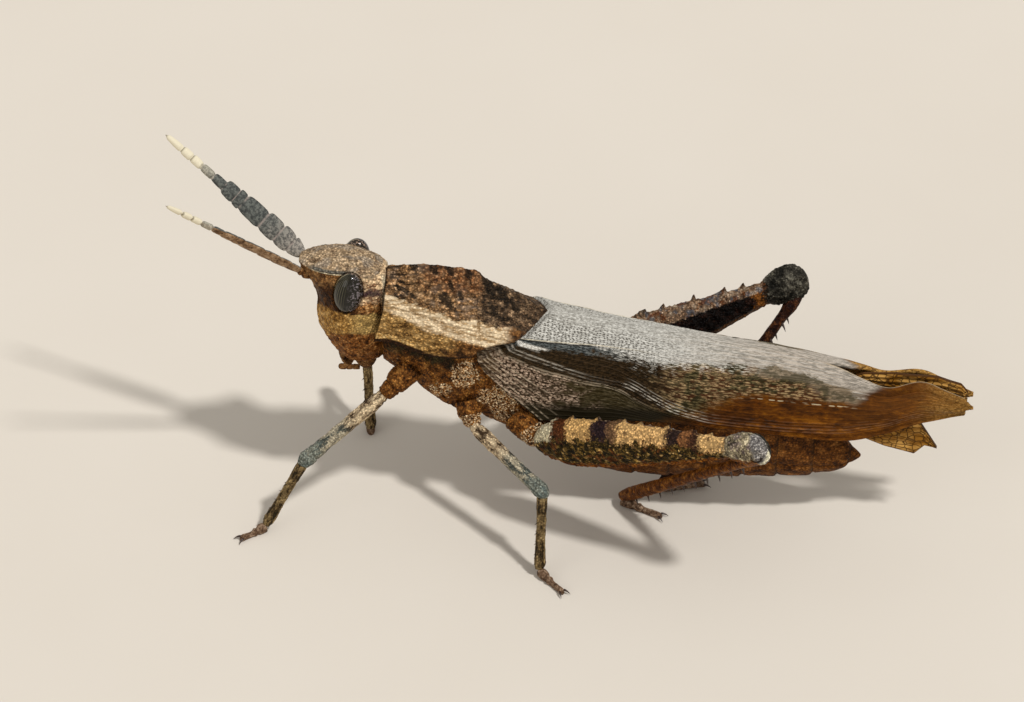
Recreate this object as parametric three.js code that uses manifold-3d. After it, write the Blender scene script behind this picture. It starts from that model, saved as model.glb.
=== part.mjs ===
// A winged male toad grasshopper at rest, life size. Millimetres, +Z up, head towards -X,
// the animal's left side towards -Y. The floor is z = 0 and the origin lies on it, under
// the middle of the whole animal.
import * as THREE from "three";
import { mergeVertices } from "three/addons/utils/BufferGeometryUtils.js";
import Module from "manifold-3d";

const wasm = await Module();
wasm.setup();

// ---- driving sizes -------------------------------------------------------------------
const CENTRE_X = 0.525; // from the joint of thorax and abdomen to the origin
const GAP = 0.1; // thin cut between neighbouring pieces
const SHELL = 0.5; // thickness of the pronotum's plate and of the wings

// Profiles run from head to tail. Columns: x, top z, bottom z, half width.
const THORAX = [
  [-13.05, 18.6, 12.3, 1.9],
  [-12.4, 19.0, 11.7, 2.4],
  [-11.2, 19.1, 10.8, 2.7],
  [-9.7, 19.1, 9.3, 2.85],
  [-8.5, 18.8, 8.4, 2.9],
  [-6.0, 17.8, 7.8, 2.85],
  [-3.6, 16.6, 6.6, 2.75],
  [-2.1, 15.8, 5.7, 2.65],
];
const ABDOMEN = [
  [-2.1, 15.6, 5.7, 2.6],
  [1.6, 14.3, 3.7, 2.55],
  [4.9, 13.3, 3.0, 2.5],
  [10.3, 12.3, 3.0, 2.25],
  [15.7, 11.2, 3.4, 1.85],
  [19.0, 9.6, 3.7, 1.4],
  [21.6, 7.6, 4.2, 0.95],
  [23.4, 6.0, 5.4, 0.35],
];
const ABDOMEN_CUTS = [-2.1, 6.6, 14.6, 23.4];

// Head, from mouth to crown. Columns: z, front x, back x, half width, bluntness of face.
const HEAD = [
  [12.75, -17.25, -13.7, 1.7, 0.75],
  [13.6, -17.75, -13.5, 2.1, 0.75],
  [14.8, -18.35, -13.4, 2.45, 0.8],
  [16.3, -18.65, -13.4, 2.7, 0.8],
  [17.8, -18.6, -13.3, 2.75, 0.75],
  [19.0, -18.9, -13.3, 2.6, 0.7],
  [20.0, -19.35, -13.3, 2.35, 0.6],
  [20.7, -19.85, -13.5, 2.05, 0.55],
  [21.25, -19.95, -14.2, 1.75, 0.6],
  [21.7, -19.3, -15.0, 1.35, 0.7],
  [22.0, -18.5, -15.8, 0.85, 0.8],
  [22.1, -17.6, -16.5, 0.4, 0.9],
];
const EYE = { x: -16.04, y: 2.2, z: 19.75, length: 1.1, width: 0.95, height: 1.82, lean: 8 };

// Antenna of the right side and both tips; the left one is its mirror image but for the tip.
// Widths of the flat blade run from its root to its tip; it is SHELL thick.
const ANTENNA_ROOT = [-19.55, 0.85, 20.35];
const ANTENNA_TIP = { left: [-29.5, 4.6, 28.7], right: [-30.9, 4.6, 28.5] };
const ANTENNA_FACE = [0.09, -0.78, 0.62];
const SCAPE_LENGTH = 0.45;
const ANTENNA_SEGMENTS = 11;
const ANTENNA_WIDTHS = [0.75, 1.5, 1.66, 1.62, 1.5, 1.38, 1.2, 1.0, 0.86, 0.7, 0.56, 0.34];

// Pronotum. Columns: x, crest z, crest ridge height, shoulder y, shoulder z, lobe y, lobe z.
const PRONOTUM = [
  [-13.3, 20.9, 0.2, 2.3, 18.9, 3.05, 15.9],
  [-12.6, 21.05, 0.4, 2.4, 18.8, 3.1, 15.85],
  [-9.8, 21.35, 0.7, 2.75, 18.3, 3.5, 15.2],
  [-7.8, 21.25, 0.8, 2.95, 17.8, 3.6, 15.2],
  [-6.25, 21.0, 0.75, 3.0, 17.5, 3.6, 15.4],
  [-5.9, 20.45, 0.4, 3.0, 17.35, 3.55, 15.6],
  [-4.9, 19.9, 0.35, 2.95, 17.0, 3.5, 15.7],
  [-3.3, 19.1, 0.3, 2.85, 16.5, 3.4, 15.7],
  [-0.9, 17.65, 0.1, 2.75, 15.9, 3.35, 15.5],
];
// Ends of the pronotum: part of the way from crest to lobe edge, front x, hind x.
const PRONOTUM_ENDS = [
  [0.0, -13.3, -0.95],
  [0.5, -13.3, -3.4],
  [0.8, -13.65, -5.3],
  [1.0, -14.0, -6.6],
];

// Forewing. Columns: x, ridge y, ridge z, shoulder y, shoulder z, lower edge y, edge z.
const TEGMEN = [
  [-6.3, 0.05, 19.6, 3.1, 17.3, 3.5, 10.2],
  [-3.0, 0.05, 18.8, 3.05, 16.4, 3.45, 9.9],
  [-0.7, 0.05, 18.05, 2.9, 15.95, 3.4, 9.7],
  [1.8, 0.05, 17.5, 2.75, 15.6, 3.3, 9.75],
  [4.6, 0.05, 17.0, 2.6, 15.25, 3.15, 9.95],
  [8.5, 0.05, 16.4, 2.5, 14.75, 2.95, 9.9],
  [12.4, 0.05, 15.75, 2.4, 14.35, 2.7, 9.5],
  [17.9, 0.05, 15.1, 2.05, 14.0, 2.2, 8.8],
  [20.6, 0.1, 14.5, 1.85, 13.7, 1.85, 8.45],
  [22.0, 0.35, 14.2, 1.7, 13.5, 1.7, 8.35],
  [23.4, 0.75, 13.8, 1.6, 13.2, 1.55, 8.5],
  [25.4, 1.0, 13.3, 1.5, 12.8, 1.35, 9.1],
  [27.9, 0.75, 13.9, 1.25, 13.3, 1.15, 10.1],
  [30.0, 0.6, 13.0, 1.1, 12.5, 1.0, 10.7],
  [32.0, 0.45, 12.0, 0.95, 11.8, 0.9, 11.3],
];
// Front and hind ends of the forewing: part of the way from ridge to lower edge, x, x.
const TEGMEN_ENDS = [
  [0.0, -0.7, 31.4],
  [0.25, -2.0, 31.8],
  [0.5, -3.25, 32.0],
  [0.6, -5.0, 32.0],
  [0.67, -5.9, 31.9],
  [0.8, -4.4, 31.7],
  [1.0, -1.2, 31.4],
];
// Side outlines (x, z) of the two hindwings, folded flat between the forewings.
const HINDWING_RIGHT = [
  [21.6, 12.9],
  [23.4, 13.75],
  [25.9, 13.95],
  [29.1, 13.9],
  [30.9, 13.3],
  [31.5, 12.6],
  [31.2, 12.0],
  [27.0, 11.8],
];
const HINDWING_LEFT = [
  [22.6, 9.6],
  [25.0, 10.2],
  [28.0, 10.2],
  [27.8, 9.75],
  [29.25, 7.35],
  [28.3, 7.55],
  [27.5, 6.65],
  [25.2, 7.2],
  [23.7, 7.8],
];

// Legs of the left side: hip, knee, ankle, toe. The right fore leg has its own stance.
const LEGS = {
  fore_left: {
    hip: [-13.2, -3.1, 10.9],
    knee: [-19.1, -6.0, 6.1],
    ankle: [-22.05, -7.45, 0.6],
    toe: [-23.8, -8.9, 0.3],
  },
  fore_right: {
    hip: [-13.2, 3.1, 10.9],
    knee: [-16.2, 8.4, 6.5],
    ankle: [-15.5, 5.25, 0.6],
    toe: [-15.9, 7.5, 0.3],
  },
  mid_left: {
    hip: [-6.4, -3.2, 8.5],
    knee: [-0.4, -8.6, 6.8],
    ankle: [-0.4, -10.4, 0.6],
    toe: [1.6, -12.5, 0.3],
  },
};
LEGS.mid_right = mirrored(LEGS.mid_left);
const COXA_TOP = { fore: [-11.2, 1.9, 12.8], mid: [-6.9, 2.1, 10.0], hind: [-2.6, 2.2, 9.0] };
const WALKING = { coxa: 1.05, femur: 0.5, knee: 0.62, tibia: 0.43, tarsus: 0.36 };
const HIND = {
  left: {
    hip: [-1.1, -3.95, 8.0],
    knee: [15.9, -11.2, 14.55],
    ankle: [5.0, -1.1, 0.8],
    toe: [8.2, -2.5, 0.3],
    outward: [-0.2, -0.95, -0.22],
  },
  right: {
    hip: [-1.1, 3.95, 8.0],
    knee: [17.0, 10.75, 13.75],
    ankle: [8.0, 0.9, 0.8],
    toe: [11.2, 1.9, 0.3],
    outward: [-0.2, 0.95, -0.22],
  },
};
// Hind femur: part of its length, half depth above and below its axis, half thickness.
const HIND_FEMUR = [
  [0.0, 0.9, 0.9, 0.7],
  [0.05, 1.75, 1.6, 1.1],
  [0.15, 2.35, 2.3, 1.4],
  [0.35, 2.3, 2.3, 1.4],
  [0.6, 1.75, 1.75, 1.15],
  [0.75, 1.3, 1.3, 0.9],
  [0.86, 1.05, 1.0, 0.8],
  [0.91, 1.3, 1.25, 0.9],
  [0.97, 1.65, 1.6, 1.0],
  [1.03, 1.4, 1.4, 0.95],
  [1.06, 0.75, 0.75, 0.6],
];
const HIND_FEMUR_TEETH = 9;
const HIND_TOOTH = 0.22;
const SPINES = 6;
const SPINE_LENGTH = 0.75;
const SPINE = [
  [0, 0.2, 0.2],
  [1, 0.05, 0.05],
];

const PAINT = {
  rust: [0x7a5030, 0.75],
  crown: [0x8f8066, 0.8],
  eye: [0x2e2f22, 0.2],
  antenna: [0x5f6364, 0.7],
  wing: [0x8d8983, 0.7],
  hindwing: [0xa8783a, 0.6],
  belly: [0x7a4520, 0.7],
  leg: [0x6d6654, 0.8],
  hindLeg: [0x6b3d22, 0.8],
};

// ---- helpers -------------------------------------------------------------------------
const vector = (point) => new THREE.Vector3(point[0], point[1], point[2]);

function mirrored(leg) {
  const turned = {};
  for (const [joint, point] of Object.entries(leg)) turned[joint] = [point[0], -point[1], point[2]];
  return turned;
}

// Smooth value of every column of a table at a place given in its first column.
function at(table, place) {
  const last = table.length - 1;
  let i = 0;
  while (i < last - 1 && table[i + 1][0] < place) i += 1;
  const before = table[Math.max(i - 1, 0)];
  const after = table[Math.min(i + 2, last)];
  const span = table[i + 1][0] - table[i][0];
  const t = THREE.MathUtils.clamp((place - table[i][0]) / span, 0, 1);
  return table[i].map((value, column) => {
    const next = table[i + 1][column];
    const slopeA = ((next - before[column]) / (table[i + 1][0] - before[0])) * span;
    const slopeB = ((after[column] - value) / (after[0] - table[i][0])) * span;
    const square = t * t;
    const cube = square * t;
    return (
      (2 * cube - 3 * square + 1) * value +
      (cube - 2 * square + t) * slopeA +
      (3 * square - 2 * cube) * next +
      (cube - square) * slopeB
    );
  });
}

function steps(from, to, count) {
  return Array.from({ length: count + 1 }, (_, i) => from + ((to - from) * i) / count);
}

function geometryFrom(points, faces) {
  const geometry = new THREE.BufferGeometry();
  geometry.setAttribute("position", new THREE.Float32BufferAttribute(points.flat(), 3));
  geometry.setIndex(faces.flat());
  let volume = 0;
  for (const face of faces) {
    const [a, b, c] = face.map((corner) => vector(points[corner]));
    volume += a.dot(b.cross(c));
  }
  if (volume < 0) geometry.setIndex(faces.map(([a, b, c]) => [a, c, b]).flat());
  return geometry;
}

// A closed body through a row of rings, each end closed to its middle.
function loft(rings) {
  const size = rings[0].length;
  const points = rings.flat();
  const faces = [];
  for (let r = 0; r < rings.length - 1; r += 1) {
    for (let i = 0; i < size; i += 1) {
      const a = r * size + i;
      const b = r * size + ((i + 1) % size);
      faces.push([a, b, b + size], [a, b + size, a + size]);
    }
  }
  for (const [ring, turned] of [[0, true], [rings.length - 1, false]]) {
    const middle = [0, 1, 2].map((axis) => rings[ring].reduce((sum, p) => sum + p[axis], 0) / size);
    const centre = points.push(middle) - 1;
    for (let i = 0; i < size; i += 1) {
      const a = ring * size + i;
      const b = ring * size + ((i + 1) % size);
      faces.push(turned ? [centre, b, a] : [centre, a, b]);
    }
  }
  return geometryFrom(points, faces);
}

// A closed plate between an outer and an inner sheet of points.
function plate(outer, inner) {
  const rows = outer.length;
  const columns = outer[0].length;
  const points = [...outer.flat(), ...inner.flat()];
  const faces = [];
  const under = rows * columns;
  const quad = (a, b, c, d) => faces.push([a, b, c], [a, c, d]);
  for (let r = 0; r < rows - 1; r += 1) {
    for (let c = 0; c < columns - 1; c += 1) {
      const a = r * columns + c;
      quad(a, a + 1, a + columns + 1, a + columns);
      quad(under + a, under + a + columns, under + a + columns + 1, under + a + 1);
    }
  }
  const rim = (a, b) => quad(a, under + a, under + b, b);
  for (let c = 0; c < columns - 1; c += 1) {
    rim(c, c + 1);
    rim((rows - 1) * columns + c + 1, (rows - 1) * columns + c);
  }
  for (let r = 0; r < rows - 1; r += 1) {
    rim((r + 1) * columns, r * columns);
    rim(r * columns + columns - 1, (r + 1) * columns + columns - 1);
  }
  return geometryFrom(points, faces);
}

// Ring across a path: sides a and b are the half sizes along the two given directions.
function ring(centre, across, up, halfAcross, halfUp, halfDown, sides, square = 1) {
  return steps(0, 2 * Math.PI, sides)
    .slice(0, -1)
    .map((angle) => {
      const c = Math.cos(angle);
      const s = Math.sin(angle);
      const x = Math.sign(c) * Math.abs(c) ** square * halfAcross;
      const y = Math.sign(s) * Math.abs(s) ** square * (s > 0 ? halfUp : halfDown);
      return [0, 1, 2].map((axis) => centre[axis] + across[axis] * x + up[axis] * y);
    });
}

// A limb from a to b whose half sizes come from a table: part of length, across, deep.
function limb(from, to, table, upHint, sides = 8) {
  const a = vector(from);
  const b = vector(to);
  const along = b.clone().sub(a).normalize();
  const across = along.clone().cross(vector(upHint)).normalize();
  const up = across.clone().cross(along).normalize();
  return loft(
    table.map(([part, halfAcross, halfDeep]) => {
      const centre = a.clone().lerp(b, part).toArray();
      return ring(centre, across.toArray(), up.toArray(), halfAcross, halfDeep, halfDeep, sides);
    }),
  );
}

function solid(geometry) {
  const bare = geometry.clone();
  bare.deleteAttribute("normal");
  bare.deleteAttribute("uv");
  const merged = mergeVertices(bare, 1e-4);
  const vertProperties = new Float32Array(merged.attributes.position.array);
  const triVerts = new Uint32Array(merged.index.array);
  return new wasm.Manifold(new wasm.Mesh({ numProp: 3, vertProperties, triVerts }));
}

function fromSolid(shape) {
  const mesh = shape.getMesh();
  const geometry = new THREE.BufferGeometry();
  geometry.setAttribute("position", new THREE.BufferAttribute(mesh.vertProperties, 3));
  geometry.setIndex(new THREE.BufferAttribute(mesh.triVerts, 1));
  return geometry;
}

const cut = (body, tool) => fromSolid(solid(body).subtract(solid(tool)));

const group = new THREE.Group();
group.position.set(-CENTRE_X, 0, 0);

function add(name, geometry, paint) {
  const [color, roughness] = PAINT[paint];
  const mesh = new THREE.Mesh(geometry, new THREE.MeshStandardMaterial({ color, roughness, metalness: 0 }));
  mesh.name = name;
  group.add(mesh);
}

// ---- trunk ---------------------------------------------------------------------------
function trunk(table, from, to, count, grow = 0) {
  return loft(
    steps(from, to, count).map((x) => {
      const [, top, bottom, half] = at(table, x);
      const centre = [x, 0, (top + bottom) / 2];
      const tall = (top - bottom) / 2 + grow;
      return ring(centre, [0, 1, 0], [0, 0, 1], half + grow, tall, tall, 16, 0.9);
    }),
  );
}

function headBody() {
  return loft(
    HEAD.map(([z, front, back, half, blunt]) => {
      const centre = (front + back) / 2;
      const long = (back - front) / 2;
      return steps(0, 2 * Math.PI, 16)
        .slice(0, -1)
        .map((angle) => {
          const c = Math.cos(angle);
          const s = Math.sin(angle);
          const wide = Math.sign(s) * Math.abs(s) ** blunt * half;
          const narrow = c < 0 ? 1 - 0.35 * c * c : 1;
          return [centre + c * long, wide * narrow, z];
        });
    }),
  );
}

function eyeBody(side, grow = 0) {
  const ball = new THREE.SphereGeometry(1, 12, 8);
  ball.rotateX(Math.PI / 2);
  ball.scale(EYE.length + grow, EYE.width + grow, EYE.height + grow);
  ball.rotateY(THREE.MathUtils.degToRad(EYE.lean));
  ball.translate(EYE.x, side * EYE.y, EYE.z);
  return ball;
}

function buildHead() {
  let head = headBody();
  for (const side of [-1, 1]) {
    const word = side < 0 ? "left" : "right";
    head = cut(head, eyeBody(side, GAP));
    add("eye_" + word, eyeBody(side), "eye");
  }
  add("head", head, "crown");
  const lip = [
    [0, 0.45, 1.05],
    [0.35, 0.5, 1.15],
    [0.8, 0.45, 0.95],
    [1, 0.3, 0.5],
  ];
  add("labrum", limb([-16.75, 0, 12.6], [-16.2, 0, 11.5], lip, [0, 1, 0]), "rust");
  const jaw = [
    [0, 0.85, 0.5],
    [0.5, 0.8, 0.5],
    [1, 0.35, 0.35],
  ];
  const palp = [
    [0, 0.25, 0.25],
    [0.3, 0.26, 0.26],
    [0.85, 0.3, 0.3],
    [1, 0.17, 0.17],
  ];
  for (const side of [-1, 1]) {
    const word = side < 0 ? "left" : "right";
    const jawLine = [
      [-15.0, side * 0.8, 12.6],
      [-14.9, side * 0.7, 11.7],
    ];
    const palpLine = [
      [-15.3, side * 1.75, 12.3],
      [-16.95, side * 1.85, 12.3],
    ];
    add("mandible_" + word, limb(...jawLine, jaw, [0, 1, 0]), "rust");
    add("palp_" + word, limb(...palpLine, palp, [0, 0, 1]), "rust");
  }
}

// ---- antennae ------------------------------------------------------------------------
function antenna(root, along, blade, face) {
  const across = along.clone().cross(face).normalize();
  const flat = across.clone().cross(along).normalize();
  const rings = [];
  const section = (distance, width) => {
    const centre = root.clone().addScaledVector(along, distance).toArray();
    rings.push(ring(centre, across.toArray(), flat.toArray(), width / 2, SHELL / 2, SHELL / 2, 6));
  };
  for (let i = 0; i < ANTENNA_SEGMENTS; i += 1) {
    const start = (blade * i) / ANTENNA_SEGMENTS;
    const end = (blade * (i + 0.94)) / ANTENNA_SEGMENTS;
    section(start, ANTENNA_WIDTHS[i] * 0.93);
    section(end, ANTENNA_WIDTHS[i + 1] * 1.05);
  }
  section(blade, ANTENNA_WIDTHS[ANTENNA_SEGMENTS] * 0.5);
  return loft(rings);
}

function buildAntennae(headShape) {
  const base = [
    [0, 0.34, 0.34],
    [0.5, 0.42, 0.42],
    [1, 0.32, 0.32],
  ];
  for (const side of [-1, 1]) {
    const word = side < 0 ? "left" : "right";
    const mirror = (point) => vector([point[0], side * point[1], point[2]]);
    const root = mirror(ANTENNA_ROOT);
    const reach = mirror(ANTENNA_TIP[word]).sub(root);
    const along = reach.clone().normalize();
    const bladeRoot = root.clone().addScaledVector(along, SCAPE_LENGTH + GAP);
    const blade = reach.length() - SCAPE_LENGTH - GAP;
    const deep = root.clone().addScaledVector(along, -2 * SCAPE_LENGTH).toArray();
    const tip = root.clone().addScaledVector(along, SCAPE_LENGTH).toArray();
    add("antenna_" + word, antenna(bladeRoot, along, blade, mirror(ANTENNA_FACE)), "antenna");
    add("scape_" + word, cut(limb(deep, tip, base, [0, 0, 1]), headShape), "rust");
  }
}

// ---- pronotum and wings --------------------------------------------------------------
// A point (y, z) of a roof-shaped section: part 0 is the ridge, 0.5 the shoulder and 1 the
// lower edge of the side.
function roofPoint(part, ridge, shoulder, edge) {
  const down = Math.max(part - 0.5, 0) / 0.5;
  if (down > 0) {
    const y = shoulder[0] + (edge[0] - shoulder[0]) * Math.sin((down * Math.PI) / 2);
    return [y, shoulder[1] + (edge[1] - shoulder[1]) * down];
  }
  const out = part / 0.5;
  const y = ridge[0] + (shoulder[0] - ridge[0]) * Math.sin((out * Math.PI) / 2);
  return [y, ridge[1] + (shoulder[1] - ridge[1]) * out];
}

function pronotumSheet(inset) {
  return steps(0, 1, 12).map((s) =>
    steps(-1, 1, 14).map((q) => {
      const part = Math.abs(q);
      const [, front, back] = at(PRONOTUM_ENDS, part);
      const x = front + s * (back - front);
      const [, crest, keel, shoulderY, shoulderZ, lobeY, lobeZ] = at(PRONOTUM, x);
      const ridge = [0, crest - keel - inset];
      const shoulder = [shoulderY - inset, shoulderZ - inset / 2];
      const [y, z] = roofPoint(part, ridge, shoulder, [lobeY - inset, lobeZ]);
      const lift = inset ? 0 : keel * Math.exp(-((part / 0.1) ** 2));
      return [x, Math.sign(q) * y, z + lift];
    }),
  );
}

function tegmenSheet(side, inset) {
  return steps(0, 1, 16).map((s) =>
    steps(0, 1, 8).map((part) => {
      const [, front, back] = at(TEGMEN_ENDS, part);
      const x = front + s * (back - front);
      const [, ridgeY, ridgeZ, shoulderY, shoulderZ, edgeY, edgeZ] = at(TEGMEN, x);
      const ridge = [ridgeY, ridgeZ - inset];
      const shoulder = [Math.max(shoulderY - inset, ridgeY), shoulderZ - inset];
      const [y, z] = roofPoint(part, ridge, shoulder, [edgeY - inset, edgeZ]);
      return [x, side * y, z];
    }),
  );
}

function outlineSheet(outline, y) {
  const shape = new THREE.Shape(outline.map(([x, z]) => new THREE.Vector2(x, z)));
  const sheet = new THREE.ExtrudeGeometry(shape, { depth: SHELL, bevelEnabled: false });
  sheet.rotateX(Math.PI / 2);
  sheet.translate(0, y + SHELL / 2, 0);
  return mergeVertices(stripped(sheet), 1e-4);
}

function stripped(geometry) {
  geometry.deleteAttribute("normal");
  geometry.deleteAttribute("uv");
  return geometry;
}

// ---- legs ----------------------------------------------------------------------------
const CLAW = [
  [0, 0.16, 0.16],
  [1, 0.06, 0.06],
];

// A foot lies flat on the floor and ends in two claws.
function foot(ankle, toe, halfWidth) {
  const a = vector(ankle);
  const b = vector(toe);
  const along = b.clone().sub(a).setZ(0).normalize();
  const across = new THREE.Vector3(-along.y, along.x, 0).toArray();
  const profile = [
    [0.0, 0.75, 0.55],
    [0.1, 1.0, 0.8],
    [0.35, 0.95, 0.7],
    [0.6, 0.68, 0.5],
    [0.85, 0.62, 0.5],
    [1.0, 0.75, 0.42],
  ];
  const pad = profile.map(([part, wide, high]) => {
    const x = a.x + (b.x - a.x) * part;
    const y = a.y + (b.y - a.y) * part;
    const points = ring([x, y, high / 2], across, [0, 0, 1], halfWidth * wide, high / 2, high / 2, 8, 0.8);
    return points.map(([px, py, pz], i) => [px, py, i >= 5 ? 0 : pz]);
  });
  let body = solid(loft(pad));
  for (const side of [-1, 1]) {
    const root = b.clone().addScaledVector(along, -0.15);
    root.addScaledVector(vector(across), side * halfWidth * 0.5).setZ(0.26);
    const tip = root.clone().addScaledVector(along, 0.75);
    tip.addScaledVector(vector(across), side * 0.35).setZ(0.14);
    const claw = limb(root.toArray(), tip.toArray(), CLAW, [0, 0, 1], 4);
    body = body.add(solid(claw));
  }
  return fromSolid(body);
}

// Point on the way from a to b, moved by a distance past it.
function beyond(a, b, part, distance) {
  const from = vector(a);
  const to = vector(b);
  const along = to.clone().sub(from).normalize();
  return from.lerp(to, part).addScaledVector(along, distance).toArray();
}

function buildWalkingLeg(name, trunkShape) {
  const { hip, knee, ankle, toe } = LEGS[name];
  const side = Math.sign(hip[1]);
  const [x, y, z] = COXA_TOP[name.split("_")[0]];
  const coxa = [
    [0, 1, 1],
    [0.45, 0.95, 0.95],
    [0.85, 0.68, 0.68],
    [1, 0.5, 0.5],
  ].map(([part, across, deep]) => [part, across * WALKING.coxa, deep * WALKING.coxa]);
  add("coxa_" + name, cut(limb([x, side * y, z], hip, coxa, [1, 0, 0]), trunkShape), "rust");
  const femur = [
    [0, 0.38, 0.42],
    [0.08, WALKING.femur, WALKING.femur * 1.1],
    [0.5, WALKING.femur, WALKING.femur],
    [0.8, WALKING.femur, WALKING.femur],
    [0.94, WALKING.knee, WALKING.knee],
    [1.02, WALKING.knee * 0.9, WALKING.knee * 0.9],
    [1.06, WALKING.knee * 0.5, WALKING.knee * 0.5],
  ];
  add("femur_" + name, limb(beyond(hip, knee, 0, 2.5 * GAP), knee, femur, [0, 0, 1]), "leg");
  const tibia = [
    [0, 0.34, 0.34],
    [0.08, WALKING.tibia, WALKING.tibia],
    [0.5, WALKING.tibia * 0.9, WALKING.tibia * 0.9],
    [0.92, WALKING.tibia, WALKING.tibia],
    [1, 0.34, 0.34],
  ];
  const shin = limb(knee, beyond(ankle, knee, 0, GAP), tibia, [1, 0, 0]);
  const grownKnee = femur.map(([part, across, deep]) => [part, across + GAP, deep + GAP]);
  const grownFemur = limb(hip, beyond(knee, hip, 0, -GAP), grownKnee, [0, 0, 1]);
  const grownFoot = foot(ankle, toe, WALKING.tarsus + GAP);
  grownFoot.translate(0, 0, GAP);
  add("tibia_" + name, cut(cut(shin, grownFemur), grownFoot), "leg");
  add("tarsus_" + name, foot(ankle, toe, WALKING.tarsus), "leg");
}

function hindFemur(leg, along, up, outward) {
  const hip = vector(leg.hip);
  const length = vector(leg.knee).sub(hip).length();
  const count = HIND_FEMUR_TEETH * 3;
  return loft(
    steps(0, 1.06, count).map((part) => {
      const [, above, below, thick] = at(HIND_FEMUR, part);
      const toothed = part > 0.12 && part < 0.9;
      const tooth = toothed ? HIND_TOOTH * ((part * HIND_FEMUR_TEETH * 1.25) % 1) : 0;
      const centre = hip.clone().addScaledVector(along, part * length).toArray();
      const [out, high] = [outward.toArray(), up.toArray()];
      return ring(centre, out, high, thick, above + tooth, below + tooth * 0.6, 8, 1.1);
    }),
  );
}

const HIND_TIBIA = [
  [0, 0.5, 0.5],
  [0.06, 0.5, 0.55],
  [0.5, 0.42, 0.5],
  [0.93, 0.5, 0.55],
  [1, 0.4, 0.45],
];

// The shin without its spines. It starts inside the knee's groove.
function hindShin(leg, up, grow = 0) {
  const table = HIND_TIBIA.map(([part, across, deep]) => [part, across + grow, deep + grow]);
  const start = beyond(leg.joint, leg.ankle, 0, 0.3 - grow);
  return limb(start, beyond(leg.ankle, leg.knee, 0, 0.15), table, up.toArray());
}

function hindTibia(leg, up, femurAlong) {
  const knee = vector(leg.joint);
  const ankle = vector(leg.ankle);
  const along = ankle.clone().sub(knee).normalize();
  const away = femurAlong.clone().addScaledVector(along, -femurAlong.dot(along)).normalize();
  const side = along.clone().cross(away).normalize();
  let body = solid(hindShin(leg, up));
  for (let i = 0; i < SPINES; i += 1) {
    for (const turn of [-1, 1]) {
      const part = 0.3 + (0.66 * (i + (turn > 0 ? 0.4 : 0))) / SPINES;
      const root = knee.clone().lerp(ankle, part);
      const lean = away.clone().addScaledVector(side, turn * 0.75).addScaledVector(along, 0.55).normalize();
      const tip = root.clone().addScaledVector(lean, 0.4 + SPINE_LENGTH).toArray();
      body = body.add(solid(limb(root.toArray(), tip, SPINE, along.toArray(), 3)));
    }
  }
  return fromSolid(body);
}

function buildHindLeg(word, trunkShape) {
  const leg = HIND[word];
  const along = vector(leg.knee).sub(vector(leg.hip)).normalize();
  const up = vector(leg.outward).cross(along).normalize();
  if (up.z < 0) up.negate();
  const outward = up.clone().cross(along).normalize();
  const [x, y, z] = COXA_TOP.hind;
  const coxaTop = [x, Math.sign(leg.hip[1]) * y, z];
  const coxa = [
    [0, 1.5, 1.7],
    [0.5, 1.3, 1.4],
    [1, 0.8, 0.9],
  ];
  leg.joint = vector(leg.knee).addScaledVector(along, 0.6).addScaledVector(up, -0.8).toArray();
  const femur = cut(hindFemur(leg, along, up, outward), hindShin(leg, up, GAP));
  const shifted = femur.clone().translate(-1.5 * GAP, 0, 0);
  const coxaBody = cut(limb(coxaTop, beyond(leg.hip, leg.knee, 0, -2 * GAP), coxa, [1, 0, 0]), trunkShape);
  const footWidth = WALKING.tarsus + 0.05;
  const grownFoot = foot(leg.ankle, leg.toe, footWidth + GAP).translate(0, 0, GAP);
  add("coxa_hind_" + word, cut(cut(coxaBody, shifted), femur), "rust");
  add("femur_hind_" + word, femur, "hindLeg");
  add("tibia_hind_" + word, cut(hindTibia(leg, up, along), grownFoot), "hindLeg");
  add("tarsus_hind_" + word, foot(leg.ankle, leg.toe, footWidth), "leg");
}

// ---- the whole animal ----------------------------------------------------------------
buildHead();
buildAntennae(headBody());
add("pronotum", plate(pronotumSheet(0), pronotumSheet(SHELL)), "rust");
add("thorax", trunk(THORAX, THORAX[0][0], THORAX.at(-1)[0] - GAP, 10), "rust");
["abdomen_front", "abdomen_middle", "abdomen_tip"].forEach((name, i) => {
  add(name, trunk(ABDOMEN, ABDOMEN_CUTS[i] + GAP / 2, ABDOMEN_CUTS[i + 1] - GAP / 2, 6), "belly");
});
for (const side of [-1, 1]) {
  const word = side < 0 ? "left" : "right";
  add("tegmen_" + word, plate(tegmenSheet(side, 0), tegmenSheet(side, SHELL)), "wing");
  const outline = side < 0 ? HINDWING_LEFT : HINDWING_RIGHT;
  add("hindwing_" + word, outlineSheet(outline, side < 0 ? -0.45 : 0), "hindwing");
}
const trunkShape = fromSolid(
  solid(trunk(THORAX, THORAX[0][0], THORAX.at(-1)[0] + 3 * GAP, 10, GAP)).add(
    solid(trunk(ABDOMEN, ABDOMEN_CUTS[0] - GAP, ABDOMEN_CUTS[1], 6, GAP)),
  ),
);
for (const name of Object.keys(LEGS)) buildWalkingLeg(name, trunkShape);
for (const word of ["left", "right"]) buildHindLeg(word, trunkShape);

export default group;
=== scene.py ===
"""Skins, shells and finishes of a toad grasshopper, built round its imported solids."""
import math

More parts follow.
